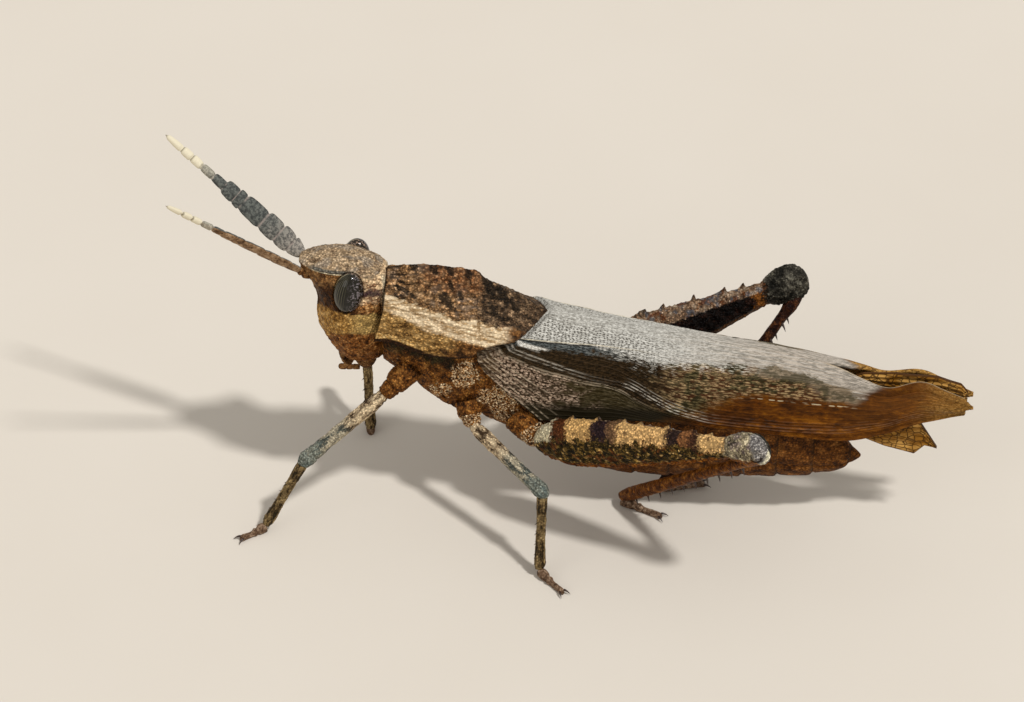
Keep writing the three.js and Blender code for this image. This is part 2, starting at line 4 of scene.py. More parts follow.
import bpy
import numpy as np
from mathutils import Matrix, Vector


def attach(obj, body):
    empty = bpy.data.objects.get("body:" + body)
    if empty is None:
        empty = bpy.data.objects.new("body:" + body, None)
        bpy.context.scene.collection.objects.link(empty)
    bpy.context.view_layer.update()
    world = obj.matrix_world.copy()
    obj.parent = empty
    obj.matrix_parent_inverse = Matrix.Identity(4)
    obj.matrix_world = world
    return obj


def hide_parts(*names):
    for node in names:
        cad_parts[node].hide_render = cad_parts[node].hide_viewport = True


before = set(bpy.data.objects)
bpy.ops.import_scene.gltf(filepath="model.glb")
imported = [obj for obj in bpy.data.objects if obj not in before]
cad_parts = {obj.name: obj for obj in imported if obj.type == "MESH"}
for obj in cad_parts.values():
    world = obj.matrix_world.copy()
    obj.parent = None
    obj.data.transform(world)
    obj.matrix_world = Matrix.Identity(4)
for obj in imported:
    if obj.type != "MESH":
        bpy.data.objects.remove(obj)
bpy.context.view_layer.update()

# ---- sizes, in millimetres ---------------------------------------------------------------
# The head points to -x, the tail to +x and the left side to -y; the floor is z = 0.
MM = 0.001
CENTRE_X = 0.525  # from the joint of thorax and abdomen to the origin

# Trunk: x, top z, bottom z, half width.
THORAX = [
    [-13.6, 18.3, 12.1, 1.5], [-13.0, 18.7, 11.8, 2.0], [-12.4, 19.0, 11.6, 2.4],
    [-11.2, 19.1, 10.8, 2.7], [-9.7, 19.1, 9.3, 2.85], [-8.5, 18.8, 8.4, 2.9],
    [-6.0, 17.8, 7.8, 2.85], [-3.6, 16.6, 6.6, 2.75], [-2.1, 15.8, 5.7, 2.65],
    [-1.2, 15.2, 5.3, 2.5],
]
ABDOMEN = [
    [-2.1, 15.6, 5.7, 2.6], [1.6, 14.3, 3.7, 2.55], [4.9, 13.3, 3.0, 2.5],
    [10.3, 12.3, 3.0, 2.25], [15.7, 11.2, 3.4, 1.85], [19.0, 9.6, 3.7, 1.4],
    [21.6, 7.5, 4.35, 0.9], [22.7, 6.5, 5.05, 0.45], [23.25, 5.95, 5.45, 0.2],
    [23.4, 5.78, 5.62, 0.08],
]
ABDOMEN_RING = 2.75  # length of each ring
# Head: station, z, front x, back x, half width, bluntness of the face.
HEAD = [
    [-1, 12.6, -16.1, -15.6, 0.3, 0.9], [0, 12.75, -17.1, -13.7, 1.6, 0.75],
    [1, 13.6, -17.75, -13.5, 2.1, 0.75], [2, 14.8, -18.35, -13.4, 2.45, 0.8],
    [3, 16.3, -18.65, -13.4, 2.7, 0.8], [4, 17.8, -18.6, -13.3, 2.75, 0.75],
    [5, 19.0, -18.9, -13.3, 2.6, 0.7], [6, 20.0, -19.35, -13.3, 2.35, 0.6],
    [7, 20.7, -19.85, -13.5, 2.05, 0.55], [8, 21.25, -19.95, -14.2, 1.75, 0.6],
    [9, 21.7, -19.3, -15.0, 1.35, 0.7], [10, 22.0, -18.5, -15.8, 0.85, 0.8],
    [11, 22.1, -17.6, -16.5, 0.4, 0.9], [12, 22.12, -17.0, -16.9, 0.03, 1.0],
]
# Eyes: middle, half sizes, lean backwards, and the angle of the stripes' wave for half a turn
# round the eye.
EYE = np.array([-16.04, 2.2, 19.75])
EYE_SIZE = np.array([1.1, 0.95, 1.82])
EYE_LEAN = math.radians(8)
EYE_STRIPES = 104.0
# Feelers: root, tip, the way their broad inner sides look, and the length of the first joint.
ANTENNA_ROOT = np.array([-19.55, 0.85, 20.35])
ANTENNA_TIP = {"left": np.array([-29.5, 4.6, 28.7]), "right": np.array([-30.9, 4.6, 28.5])}
ANTENNA_FACE = np.array([0.09, -0.78, 0.62])
SCAPE_LENGTH = 0.45
# Widths of the blade from root to tip, and where its segments meet as part of its length.
ANTENNA_WIDTHS = [0.75, 1.5, 1.66, 1.62, 1.5, 1.38, 1.2, 1.0, 0.86, 0.7, 0.56, 0.34]
ANTENNA_JOINTS = [0, 0.09, 0.18, 0.29, 0.44, 0.49, 0.575, 0.654, 0.737, 0.81, 0.88, 1]
ANTENNA_SEGMENTS = len(ANTENNA_WIDTHS) - 1
ROWS_PER_SEGMENT = 14
BLADE_GAP = 0.02  # between the first joint and the blade
# Small limbs: part of the length, half width, half depth.
SCAPE = [[0, 0.3, 0.3], [0.4, 0.42, 0.42], [0.62, 0.3, 0.3], [0.8, 0.36, 0.36], [1, 0.26, 0.26]]
LIP = [[0, 0.45, 1.05], [0.35, 0.5, 1.15], [0.8, 0.45, 0.95], [1, 0.25, 0.5]]
JAW = [[0, 0.85, 0.5], [0.5, 0.8, 0.5], [0.95, 0.42, 0.38], [1, 0.12, 0.12]]
PALP = [
    [0, 0.18, 0.18], [0.05, 0.21, 0.21], [0.3, 0.22, 0.22], [0.85, 0.24, 0.24],
    [0.96, 0.18, 0.18], [1, 0.07, 0.07],
]
# Mouthparts: root and tip, those in pairs as on the right side.
LIP_ENDS = [[-16.75, 0, 12.7], [-16.2, 0, 11.5]]
JAW_ENDS = [[-15.0, 0.8, 12.8], [-14.9, 0.7, 11.7]]
PALP_ENDS = [[-15.3, 1.75, 12.3], [-16.95, 1.85, 12.3]]

# Pronotum: x, crest z, keel height, shoulder y, shoulder z, lobe y, lobe z.
PRONOTUM = [
    [-13.3, 20.9, 0.2, 2.3, 18.9, 3.05, 15.9], [-12.6, 21.05, 0.4, 2.4, 18.8, 3.1, 15.85],
    [-9.8, 21.35, 0.7, 2.75, 18.3, 3.5, 15.2], [-7.8, 21.25, 0.8, 2.95, 17.8, 3.6, 15.2],
    [-6.25, 21.0, 0.75, 3.0, 17.5, 3.6, 15.4], [-5.9, 20.45, 0.4, 3.0, 17.35, 3.55, 15.6],
    [-4.9, 19.9, 0.35, 2.95, 17.0, 3.5, 15.7], [-3.3, 19.1, 0.3, 2.85, 16.5, 3.4, 15.7],
    [-0.9, 17.65, 0.1, 2.75, 15.9, 3.35, 15.5],
]
# Ends of the pronotum: part of the way from crest to lobe edge, front x, hind x.
PRONOTUM_ENDS = [[0.0, -13.3, -0.95], [0.5, -13.3, -3.4], [0.8, -13.65, -5.3], [1.0, -14.0, -6.6]]
# The pale stripe of the pronotum: x, its upper and its lower edge as part of the way down.
STRIPE = [
    [-14.0, 0.3, 0.55], [-12.5, 0.32, 0.6], [-10.8, 0.365, 0.63], [-9.5, 0.375, 0.66],
    [-7.5, 0.395, 0.69], [-5.4, 0.333, 0.78], [-3.2, 0.29, 0.86], [-0.9, 0.28, 0.9],
]
# Dark blotches of the pronotum: x, part of the way down, size.
BLOTCHES = [
    [-8.5, 0.23, 0.62], [-8.25, 0.115, 0.3], [-12.3, 0.19, 0.3], [-11.7, 0.215, 0.32],
    [-11.1, 0.25, 0.3], [-11.2, 0.02, 0.4], [-9.7, 0.03, 0.38], [-8.5, 0.02, 0.45],
    [-7.0, 0.03, 0.35], [-7.5, 0.16, 0.3], [-5.5, 0.03, 0.6], [-4.4, 0.05, 0.55],
    [-4.9, 0.2, 0.45], [-3.4, 0.1, 0.4], [-7.2, 0.95, 0.6], [-8.6, 0.9, 0.35],
]
# Cross furrows of the pronotum: x, depth, and the part of the way down where each begins.
FURROWS = [[-11.3, 0.08, 0.3], [-9.0, 0.08, 0.2], [-6.15, 0.14, 0.02]]
# Forewing: x, ridge y, ridge z, shoulder y, shoulder z, lower edge y, edge z.
TEGMEN = [
    [-6.3, 0.05, 19.6, 3.1, 17.3, 3.5, 10.2], [-3.0, 0.05, 18.8, 3.05, 16.4, 3.45, 9.9],
    [-0.7, 0.05, 18.05, 2.9, 15.95, 3.4, 9.7], [1.8, 0.05, 17.5, 2.75, 15.6, 3.3, 9.75],
    [4.6, 0.05, 17.0, 2.6, 15.25, 3.15, 9.95], [8.5, 0.05, 16.4, 2.5, 14.75, 2.95, 9.9],
    [12.4, 0.05, 15.75, 2.4, 14.35, 2.7, 9.5], [17.9, 0.05, 15.1, 2.05, 14.0, 2.2, 8.8],
    [20.6, 0.1, 14.5, 1.85, 13.7, 1.85, 8.45], [22.0, 0.35, 14.2, 1.7, 13.5, 1.7, 8.35],
    [23.4, 0.75, 13.8, 1.6, 13.2, 1.55, 8.5], [25.4, 1.0, 13.3, 1.5, 12.8, 1.35, 9.1],
    [27.9, 0.75, 13.9, 1.25, 13.3, 1.15, 10.1], [30.0, 0.6, 13.0, 1.1, 12.5, 1.0, 10.7],
    [32.0, 0.45, 12.0, 0.95, 11.8, 0.9, 11.3],
]
# Ends of the forewing: part of the way from ridge to lower edge, front x, hind x.
TEGMEN_ENDS = [
    [0.0, -0.7, 31.4], [0.25, -2.0, 31.8], [0.5, -3.25, 32.0], [0.6, -5.0, 32.0],
    [0.67, -5.9, 31.9], [0.8, -4.4, 31.7], [1.0, -1.2, 31.4],
]
WING_THICK = 0.3
# How far the root of the forewing goes on under the pronotum, and how much lower it lies there.
WING_ROOT = 0.8
WING_SUNK = 0.5
# Slanted seams of the side plates: x of each at a height of 10.
SEAMS = [-10.6, -8.6, -6.4, -4.3, -2.6]
# Patches of pale tubercles on the side plates: place along and up the flank, and their half sizes.
TUBERCLES = [
    [-7.3, 9.1, 0.9, 0.8], [-4.4, 7.1, 0.9, 1.2], [-5.6, 7.4, 0.6, 0.5], [-9.2, 8.0, 0.7, 0.4],
]
# Hindwings, as far as they show: y, upper edge and lower edge as x, z.
HINDWINGS = {
    "right": (
        0.0,
        [[21.6, 12.9], [23.4, 13.75], [25.9, 13.95], [29.1, 13.9], [30.9, 13.3], [31.45, 12.6]],
        [[21.6, 12.8], [27.0, 11.8], [31.2, 12.0], [31.45, 12.5]],
    ),
    "left": (
        -0.45,
        [[22.6, 9.65], [25.0, 10.2], [27.8, 9.9], [29.25, 7.4]],
        [[22.6, 9.55], [23.7, 7.8], [25.2, 7.2], [27.5, 6.65], [28.3, 7.55], [29.25, 7.35]],
    ),
}
# Veins of the forewing: x, then the edge of the silvery back, the bright vein and the radial
# vein, each as part of the way from ridge to lower edge.
VEINS = [
    [-7.2, 0.44, 0.43, 0.51], [-5.3, 0.415, 0.475, 0.552], [-3.2, 0.38, 0.522, 0.59],
    [-1.1, 0.345, 0.56, 0.635], [0.6, 0.318, 0.596, 0.657], [2.4, 0.292, 0.632, 0.685],
    [4.0, 0.278, 0.66, 0.702], [5.2, 0.272, 0.675, 0.743], [6.2, 0.265, 0.712, 0.805],
    [7.5, 0.27, 0.785, 0.87], [9.0, 0.285, 0.862, 0.915], [11.5, 0.285, 0.92, 0.95],
    [13.5, 0.255, 0.93, 0.96], [16.0, 0.22, 0.93, 0.96], [18.7, 0.235, 0.92, 0.95],
    [21.9, 0.48, 0.9, 0.94], [24.0, 0.6, 0.88, 0.93], [32.0, 0.6, 0.84, 0.9],
]
# Veins that fan out below the radial vein: where each leaves the wing's root, and its slope.
FAN = [[0.585, 0.033], [0.61, 0.04], [0.635, 0.046], [0.665, 0.054], [0.71, 0.055]]
# Legs: hip, knee, ankle and toe.
LEGS = {
    "fore_left": ([-13.2, -3.1, 10.9], [-19.1, -6.0, 6.1], [-22.05, -7.45, 0.6], [-23.8, -8.9, 0.3]),
    "fore_right": ([-13.2, 3.1, 10.9], [-16.2, 8.4, 6.5], [-15.5, 5.25, 0.6], [-15.9, 7.5, 0.3]),
    "mid_left": ([-6.4, -3.2, 8.5], [-0.4, -8.6, 6.8], [-0.4, -10.4, 0.6], [1.6, -12.5, 0.3]),
    "mid_right": ([-6.4, 3.2, 8.5], [-0.4, 8.6, 6.8], [-0.4, 10.4, 0.6], [1.6, 12.5, 0.3]),
    "hind_left": ([-1.1, -3.95, 8.0], [15.9, -11.2, 14.55], [5.0, -1.1, 0.8], [8.2, -2.5, 0.3]),
    "hind_right": ([-1.1, 3.95, 8.0], [17.0, 10.75, 13.75], [8.0, 0.9, 0.8], [11.2, 1.9, 0.3]),
}
# Parts of the legs: part of the length, half width, half depth.
COXA = [[0, 1.05, 1.05], [0.45, 1.0, 1.0], [0.85, 0.72, 0.72], [1.0, 0.6, 0.6], [1.08, 0.35, 0.35]]
HIND_COXA = [[0, 1.45, 1.65], [0.5, 1.25, 1.35], [0.9, 0.85, 0.95], [1.1, 0.4, 0.4]]
FEMUR = [
    [-0.01, 0.15, 0.15], [0.01, 0.38, 0.4], [0.08, 0.5, 0.54], [0.5, 0.5, 0.5], [0.8, 0.5, 0.5],
    [0.94, 0.6, 0.62], [1.02, 0.52, 0.56], [1.06, 0.3, 0.3], [1.075, 0.08, 0.08],
]
TIBIA = [
    [0, 0.3, 0.3], [0.08, 0.42, 0.42], [0.3, 0.36, 0.38], [0.7, 0.36, 0.38], [0.93, 0.44, 0.44],
    [1.0, 0.3, 0.3],
]
HIND_TIBIA = [
    [0, 0.35, 0.35], [0.04, 0.5, 0.52], [0.08, 0.5, 0.55], [0.12, 0.42, 0.42], [0.5, 0.42, 0.5],
    [0.93, 0.5, 0.55], [1, 0.36, 0.4],
]
# Foot: part of its length, then width and height as parts of its half width and of 1 mm.
FOOT = [
    [-0.02, 0.5, 0.4], [0.0, 0.75, 0.58], [0.08, 1.0, 0.8], [0.28, 0.98, 0.74],
    [0.36, 0.66, 0.6], [0.44, 0.88, 0.62], [0.54, 0.62, 0.48], [0.62, 0.6, 0.46],
    [0.85, 0.62, 0.5], [0.97, 0.7, 0.42], [1.02, 0.35, 0.3],
]
# Tops of the legs on the right side, the way the hind thighs' outer faces look, and half widths
# of the feet.
COXA_TOP = {"fore": [-11.2, 1.9, 12.8], "mid": [-6.9, 2.1, 10.0], "hind": [-2.6, 2.2, 9.0]}
HIND_OUTWARD = [-0.2, 0.95, -0.22]
FOOT_HALF = {"fore": 0.36, "mid": 0.36, "hind": 0.41}
COXA_GRANULES = {"fore": 0, "mid": 0.9, "hind": 0.6}  # how densely they stand
THIGH_KEELS = [0.9, 2.24, 4.0, 5.4]  # angles of the keels round a walking leg's thigh
# Hind femur: part of its length, half depth above and below its axis, half thickness.
HIND_FEMUR = [
    [-0.02, 0.35, 0.35, 0.3], [0.0, 0.9, 0.9, 0.7], [0.05, 1.75, 1.6, 1.1],
    [0.15, 2.35, 2.3, 1.4], [0.35, 2.3, 2.3, 1.4], [0.6, 1.75, 1.75, 1.15],
    [0.75, 1.3, 1.3, 0.9], [0.86, 1.05, 1.0, 0.8], [0.91, 1.3, 1.25, 0.9],
    [0.97, 1.65, 1.6, 1.0], [1.03, 1.4, 1.4, 0.95], [1.058, 0.75, 0.75, 0.55],
    [1.064, 0.2, 0.2, 0.15],
]
# Bands along its upper keel, from hip to knee: where each one starts, and its colour.
HIND_BANDS = [
    (0.11, "#4d2a14"), (0.187, "#c99f64"), (0.303, "#261a1c"), (0.375, "#6b4f36"),
    (0.42, "#cda36a"), (0.636, "#2b1e1a"), (0.69, "#7d5230"), (0.735, "#3a2317"),
    (0.775, "#d2a96f"),
]
# Teeth along a hind thigh, pairs of spines on a hind shin and their length, and pairs of spines
# on another shin.
TEETH = 9.5
SPINES = 10
SPINE_LENGTH = 1.15
SHIN_SPINES = 5
# Rows and columns of points in the meshes.
GRIDS = {
    "head": (240, 260),
    "eye": (60, 90),
    "lip": (40, 48),
    "jaw": (30, 36),
    "palp": (60, 24),
    "scape": (40, 28),
    "pronotum": (241, 281),
    "forewing": (421, 201),
    "hindwing": (121, 61),
    "thorax": (220, 240),
    "abdomen": (240, 120),
    "coxa": (80, 64),
    "femur": (150, 40),
    "tibia": (110, 32),
    "foot": (81, 32),
    "hind_thigh": (341, 144),
    "hind_tibia": (200, 32),
}
FINE_RING = 720  # points round the head before they are spaced evenly
BLADE_SIDES = 36
SIDES = ((-1, "left"), (1, "right"))
NEAR_POLE = 0.999  # the first and last ring of an eye, as part of the way to its poles

# Camera: a long lens, from the side and the height that the animal was seen from.
AZIMUTH = math.radians(6.5)
ELEVATION = math.radians(38)
LOOK_AT = (-4.24 * MM, 0.0, 13.5 * MM)
FRAME_WIDTH = 78.77 * MM
LENS = 250.0
SENSOR = 36.0
CLIP = (0.01, 10.0)
# Light: the sky's strength and colours, and the lamps as name, strength, angular size in degrees
# and direction towards the lamp.
SKY = 0.5
SKY_COLOUR = (1.0, 0.98, 0.95, 1.0)
BACKDROP = "#e0d9ce"
LAMPS = [("key", 2.25, 5, (0.45, -0.25, 0.86)), ("fill", 0.45, 40, (-0.6, -0.7, 0.4))]
FLOOR_REACH = 1.5


# ---- numbers -----------------------------------------------------------------------------
def at(table, place):
    """Smooth values of every column of a table at places given in its first column."""
    rows = np.asarray(table, float)
    place = np.clip(np.asarray(place, float), rows[0, 0], rows[-1, 0])
    i = np.clip(np.searchsorted(rows[:, 0], place, side="left") - 1, 0, len(rows) - 2)
    start, end = rows[i], rows[i + 1]
    before, after = rows[np.maximum(i - 1, 0)], rows[np.minimum(i + 2, len(rows) - 1)]
    span = (end - start)[..., :1]
    t = (place[..., None] - start[..., :1]) / span
    slope_a = (end - before) / (end - before)[..., :1] * span
    slope_b = (after - start) / (after - start)[..., :1] * span
    square = t * t
    cube = square * t
    return (
        (2 * cube - 3 * square + 1) * start
        + (cube - 2 * square + t) * slope_a
        + (3 * square - 2 * cube) * end
        + (cube - square) * slope_b
    )


def unit(v):
    v = np.asarray(v, float)
    return v / np.maximum(np.linalg.norm(v, axis=-1, keepdims=True), 1e-9)


def smooth(value, start, end):
    """0 up to start and 1 from end on, where end may also be the smaller, and smooth between."""
    t = np.clip((value - start) / (end - start), 0, 1)
    return t * t * (3 - 2 * t)


def bell(value, middle, width):
    return np.exp(-(((value - middle) / width) ** 2))


def swell(value, power):
    """A signed power, which fills a section out below 1 and draws it in above 1."""
    return np.sign(value) * np.abs(value) ** power


def columns(values):
    """The last axis of an array as separate arrays."""
    return np.moveaxis(values, -1, 0)


def turns(count):
    """A row of angles, evenly spaced round a ring."""
    return np.linspace(0, 2 * math.pi, count, endpoint=False)[None, :]


def steps(start, end, count):
    """A column of evenly spaced numbers."""
    return np.linspace(start, end, count)[:, None]


def on_line(value):
    """Points on one straight line, at a given distance each."""
    return np.stack([value, 0 * value, 0 * value], -1)


def scatter(cells, seed):
    """A number from 0 to 1 for every whole-numbered cell."""
    c = cells.astype(np.int64)
    n = seed * 2654435761
    for axis, prime in enumerate((73856093, 19349663, 83492791)):
        n = n ^ (c[..., axis] * prime)
    n = ((n ^ (n >> 13)) * 1274126177) & 0x7FFFFFFF
    return ((n ^ (n >> 15)) & 0xFFFF) / 65535.0


def lumps(points, size, seed=0):
    """Smooth noise from -1 to 1, with lumps of a given size."""
    p = points / size
    base = np.floor(p)
    t = p - base
    t = t * t * (3 - 2 * t)
    total = 0.0
    for corner in np.ndindex(2, 2, 2):
        corner = np.array(corner)
        weight = np.prod(np.where(corner == 1, t, 1 - t), axis=-1)
        total = total + weight * scatter(base + corner, seed)
    return 2 * total - 1


def grains(points, size, seed, height=1.0, above=None):
    """Round grains. Each is as high as its own number, or those above a number are all as high."""
    p = points / size
    base = np.floor(p)
    nearest = np.full(p.shape[:-1], 9.0)
    own = np.zeros(p.shape[:-1])
    for step in np.ndindex(3, 3, 3):
        cell = base + np.array(step) - 1
        spot = cell + 0.2 + 0.6 * np.stack([scatter(cell, seed + k) for k in (1, 2, 3)], -1)
        away = np.linalg.norm(p - spot, axis=-1)
        closer = away < nearest
        nearest = np.where(closer, away, nearest)
        own = np.where(closer, scatter(cell, seed + 4), own)
    grain = height * np.clip(1 - nearest / 0.55, 0, 1)
    return grain * (own if above is None else own > above)


# ---- grids and meshes --------------------------------------------------------------------
def facing(grid, wrap, core=None):
    """Unit normals of a grid of points, away from its core."""
    along = np.gradient(grid, axis=0)
    if wrap:
        around = np.roll(grid, -1, axis=1) - np.roll(grid, 1, axis=1)
    else:
        around = np.gradient(grid, axis=1)
    normal = unit(np.cross(along, around))
    if core is None:
        core = grid.mean(axis=1, keepdims=True)
    return normal * np.sign(np.sum(normal * (grid - core)))


def raised(grid, height, wrap=True, core=None):
    return grid + facing(grid, wrap, core) * np.asarray(height)[..., None]


def tube(grid, **fields):
    """A closed skin over rings of points."""
    rows, sides = grid.shape[:2]
    index = np.arange(rows * sides).reshape(rows, sides)
    beside = np.roll(index, -1, axis=1)
    quads = np.stack([index[:-1], beside[:-1], beside[1:], index[1:]], -1).reshape(-1, 4).tolist()
    first, last = rows * sides, rows * sides + 1
    caps = [[first, b, a] for a, b in zip(index[0], beside[0])]
    caps += [[last, a, b] for a, b in zip(index[-1], beside[-1])]
    points = np.concatenate([grid.reshape(-1, 3), grid[0].mean(0)[None], grid[-1].mean(0)[None]])
    values = {}
    for name, field in fields.items():
        field = np.broadcast_to(field, (rows, sides))
        ends = [field[0].mean(), field[-1].mean()]
        values[name] = np.concatenate([field.ravel(), ends])
    return points, quads + caps, values


def plate(outer, inner, **fields):
    """A closed plate between two sheets of points."""
    rows, columns = outer.shape[:2]
    index = np.arange(rows * columns).reshape(rows, columns)
    under = index + rows * columns
    a, b, c, d = index[:-1, :-1], index[:-1, 1:], index[1:, 1:], index[1:, :-1]
    faces = np.stack([a, b, c, d], -1).reshape(-1, 4).tolist()
    faces += (np.stack([a, d, c, b], -1).reshape(-1, 4) + rows * columns).tolist()
    rim = np.concatenate([index[0, :-1], index[:-1, -1], index[-1, :0:-1], index[:0:-1, 0]])
    low = np.concatenate([under[0, :-1], under[:-1, -1], under[-1, :0:-1], under[:0:-1, 0]])
    faces += np.stack([rim, low, np.roll(low, -1), np.roll(rim, -1)], -1).tolist()
    values = {}
    for name, field in fields.items():
        field = np.broadcast_to(field, (rows, columns)).ravel()
        values[name] = np.concatenate([field, field])
    return np.concatenate([outer.reshape(-1, 3), inner.reshape(-1, 3)]), faces, values


def joined(shapes):
    """Several shapes as one."""
    points, faces, values = [], [], {}
    count = 0
    for shape_points, shape_faces, shape_values in shapes:
        faces += [[corner + count for corner in face] for face in shape_faces]
        points.append(shape_points)
        for name, field in shape_values.items():
            values.setdefault(name, []).append(field)
        count += len(shape_points)
    return np.concatenate(points), faces, {name: np.concatenate(v) for name, v in values.items()}


def piece(name, shape, finish, nodes):
    """Makes a shape a visible piece, in a finish of FINISH, which stands for its solids."""
    points, faces, values = shape
    corners = np.array([face[:3] for face in faces])
    first, second, third = (points[corners[:, k]] for k in range(3))
    if np.sum(first * np.cross(second, third)) < 0:
        faces = [face[::-1] for face in faces]
    mesh = bpy.data.meshes.new(name)
    mesh.from_pydata(((points - [CENTRE_X, 0, 0]) * MM).tolist(), [], faces)
    for label, field in values.items():
        attribute = mesh.attributes.new(label, "FLOAT", "POINT")
        attribute.data.foreach_set("value", field.astype(np.float32))
    mesh.materials.append(FINISH[finish])
    mesh.shade_smooth()
    mesh.update()
    thing = bpy.data.objects.new(name, mesh)
    bpy.context.scene.collection.objects.link(thing)
    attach(thing, "root")
    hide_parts(*nodes)


def axes(start, end, up_hint):
    """Directions along, across and up of a limb."""
    along = unit(np.subtract(end, start))
    across = unit(np.cross(along, up_hint))
    return along, across, np.cross(across, along)


def limb(start, end, table, up_hint, rows, sides):
    """Rings from start to end, with the part of the way and the angle of every point."""
    start = np.asarray(start, float)
    end = np.asarray(end, float)
    _, across, up = axes(start, end, up_hint)
    part = steps(table[0][0], table[-1][0], rows + 1)
    angle = turns(sides)
    _, half_width, half_depth = columns(at(table, part))
    x = np.cos(angle) * half_width
    y = np.sin(angle) * half_depth
    middle = start + (end - start) * part[..., None]
    grid = middle + across * x[..., None] + up * y[..., None]
    return grid, np.broadcast_to(part, x.shape), np.broadcast_to(angle, x.shape)


def spike(root, tip, width, bend=(0, 0, 0), sides=8, rows=8):
    """A pointed, bent spine from root to tip."""
    root = np.asarray(root, float)
    tip = np.asarray(tip, float)
    _, across, up = axes(root, tip, [0.3, 0.5, 0.8])
    part = steps(0, 1, rows + 1)[..., None]
    angle = turns(sides)[..., None]
    middle = root + (tip - root) * part + np.asarray(bend) * (4 * part * (1 - part))
    radius = width * (1 - 0.93 * part**1.2)
    return tube(middle + (np.cos(angle) * across + np.sin(angle) * up) * radius)


# ---- finishes ----------------------------------------------------------------------------
# Bare numbers in the finishes are sizes in millimetres, places along a field, levels of a noise
# from 0 to 1, and shares of a colour.
def slanted(x, y, z):
    """Two slanted measures, the same on both sides: towards the tail, and up the flank."""
    return x * 0.994 - y * 0.113, z * 0.788 - x * 0.07 - y * 0.612


def colour_of(text):
    """Linear colour of a #rrggbb text."""
    parts = [int(text[k : k + 2], 16) / 255 for k in (1, 3, 5)]
    return [p / 12.92 if p <= 0.04045 else ((p + 0.055) / 1.055) ** 2.4 for p in parts] + [1.0]


class Wire:
    """What a node gives, and the tree that it is in."""

    def __init__(self, nodes, socket):
        self.nodes = nodes
        self.socket = socket


class Value(Wire):
    """A number that nodes work out, so that a formula reads as one."""

    def __add__(self, other):
        return self.nodes.math("ADD", self, other)

    def __sub__(self, other):
        return self.nodes.math("SUBTRACT", self, other)

    def __mul__(self, other):
        return self.nodes.math("MULTIPLY", self, other)

    def __rsub__(self, other):
        return self.nodes.math("SUBTRACT", other, self)


class Coat(Wire):
    """A colour that further colours are laid over."""

    def lay(self, share, over):
        self.socket = self.nodes.blend(share, self, over).socket

    def shade(self, factor):
        """Makes the colour so many times as bright."""
        inputs = {0: self, 3: factor}
        self.socket = self.nodes.node("ShaderNodeVectorMath", inputs, operation="SCALE")


class Nodes:
    """A node tree in which each node is made and joined in one step."""

    def __init__(self, tree):
        self.tree = tree

    def node(self, kind, inputs, out=0, **settings):
        made = self.tree.nodes.new(kind)
        for name, value in settings.items():
            setattr(made, name, value)
        for key, value in inputs.items():
            if isinstance(value, Wire):
                value = value.socket
            if isinstance(value, bpy.types.NodeSocket):
                self.tree.links.new(value, made.inputs[key])
            else:
                made.inputs[key].default_value = value
        return made.outputs[out]

    def read(self, kind, inputs, out=0, **settings):
        return Value(self, self.node(kind, inputs, out, **settings))

    def math(self, operation, a, b=0.0):
        return self.read("ShaderNodeMath", {0: a, 1: b}, operation=operation)


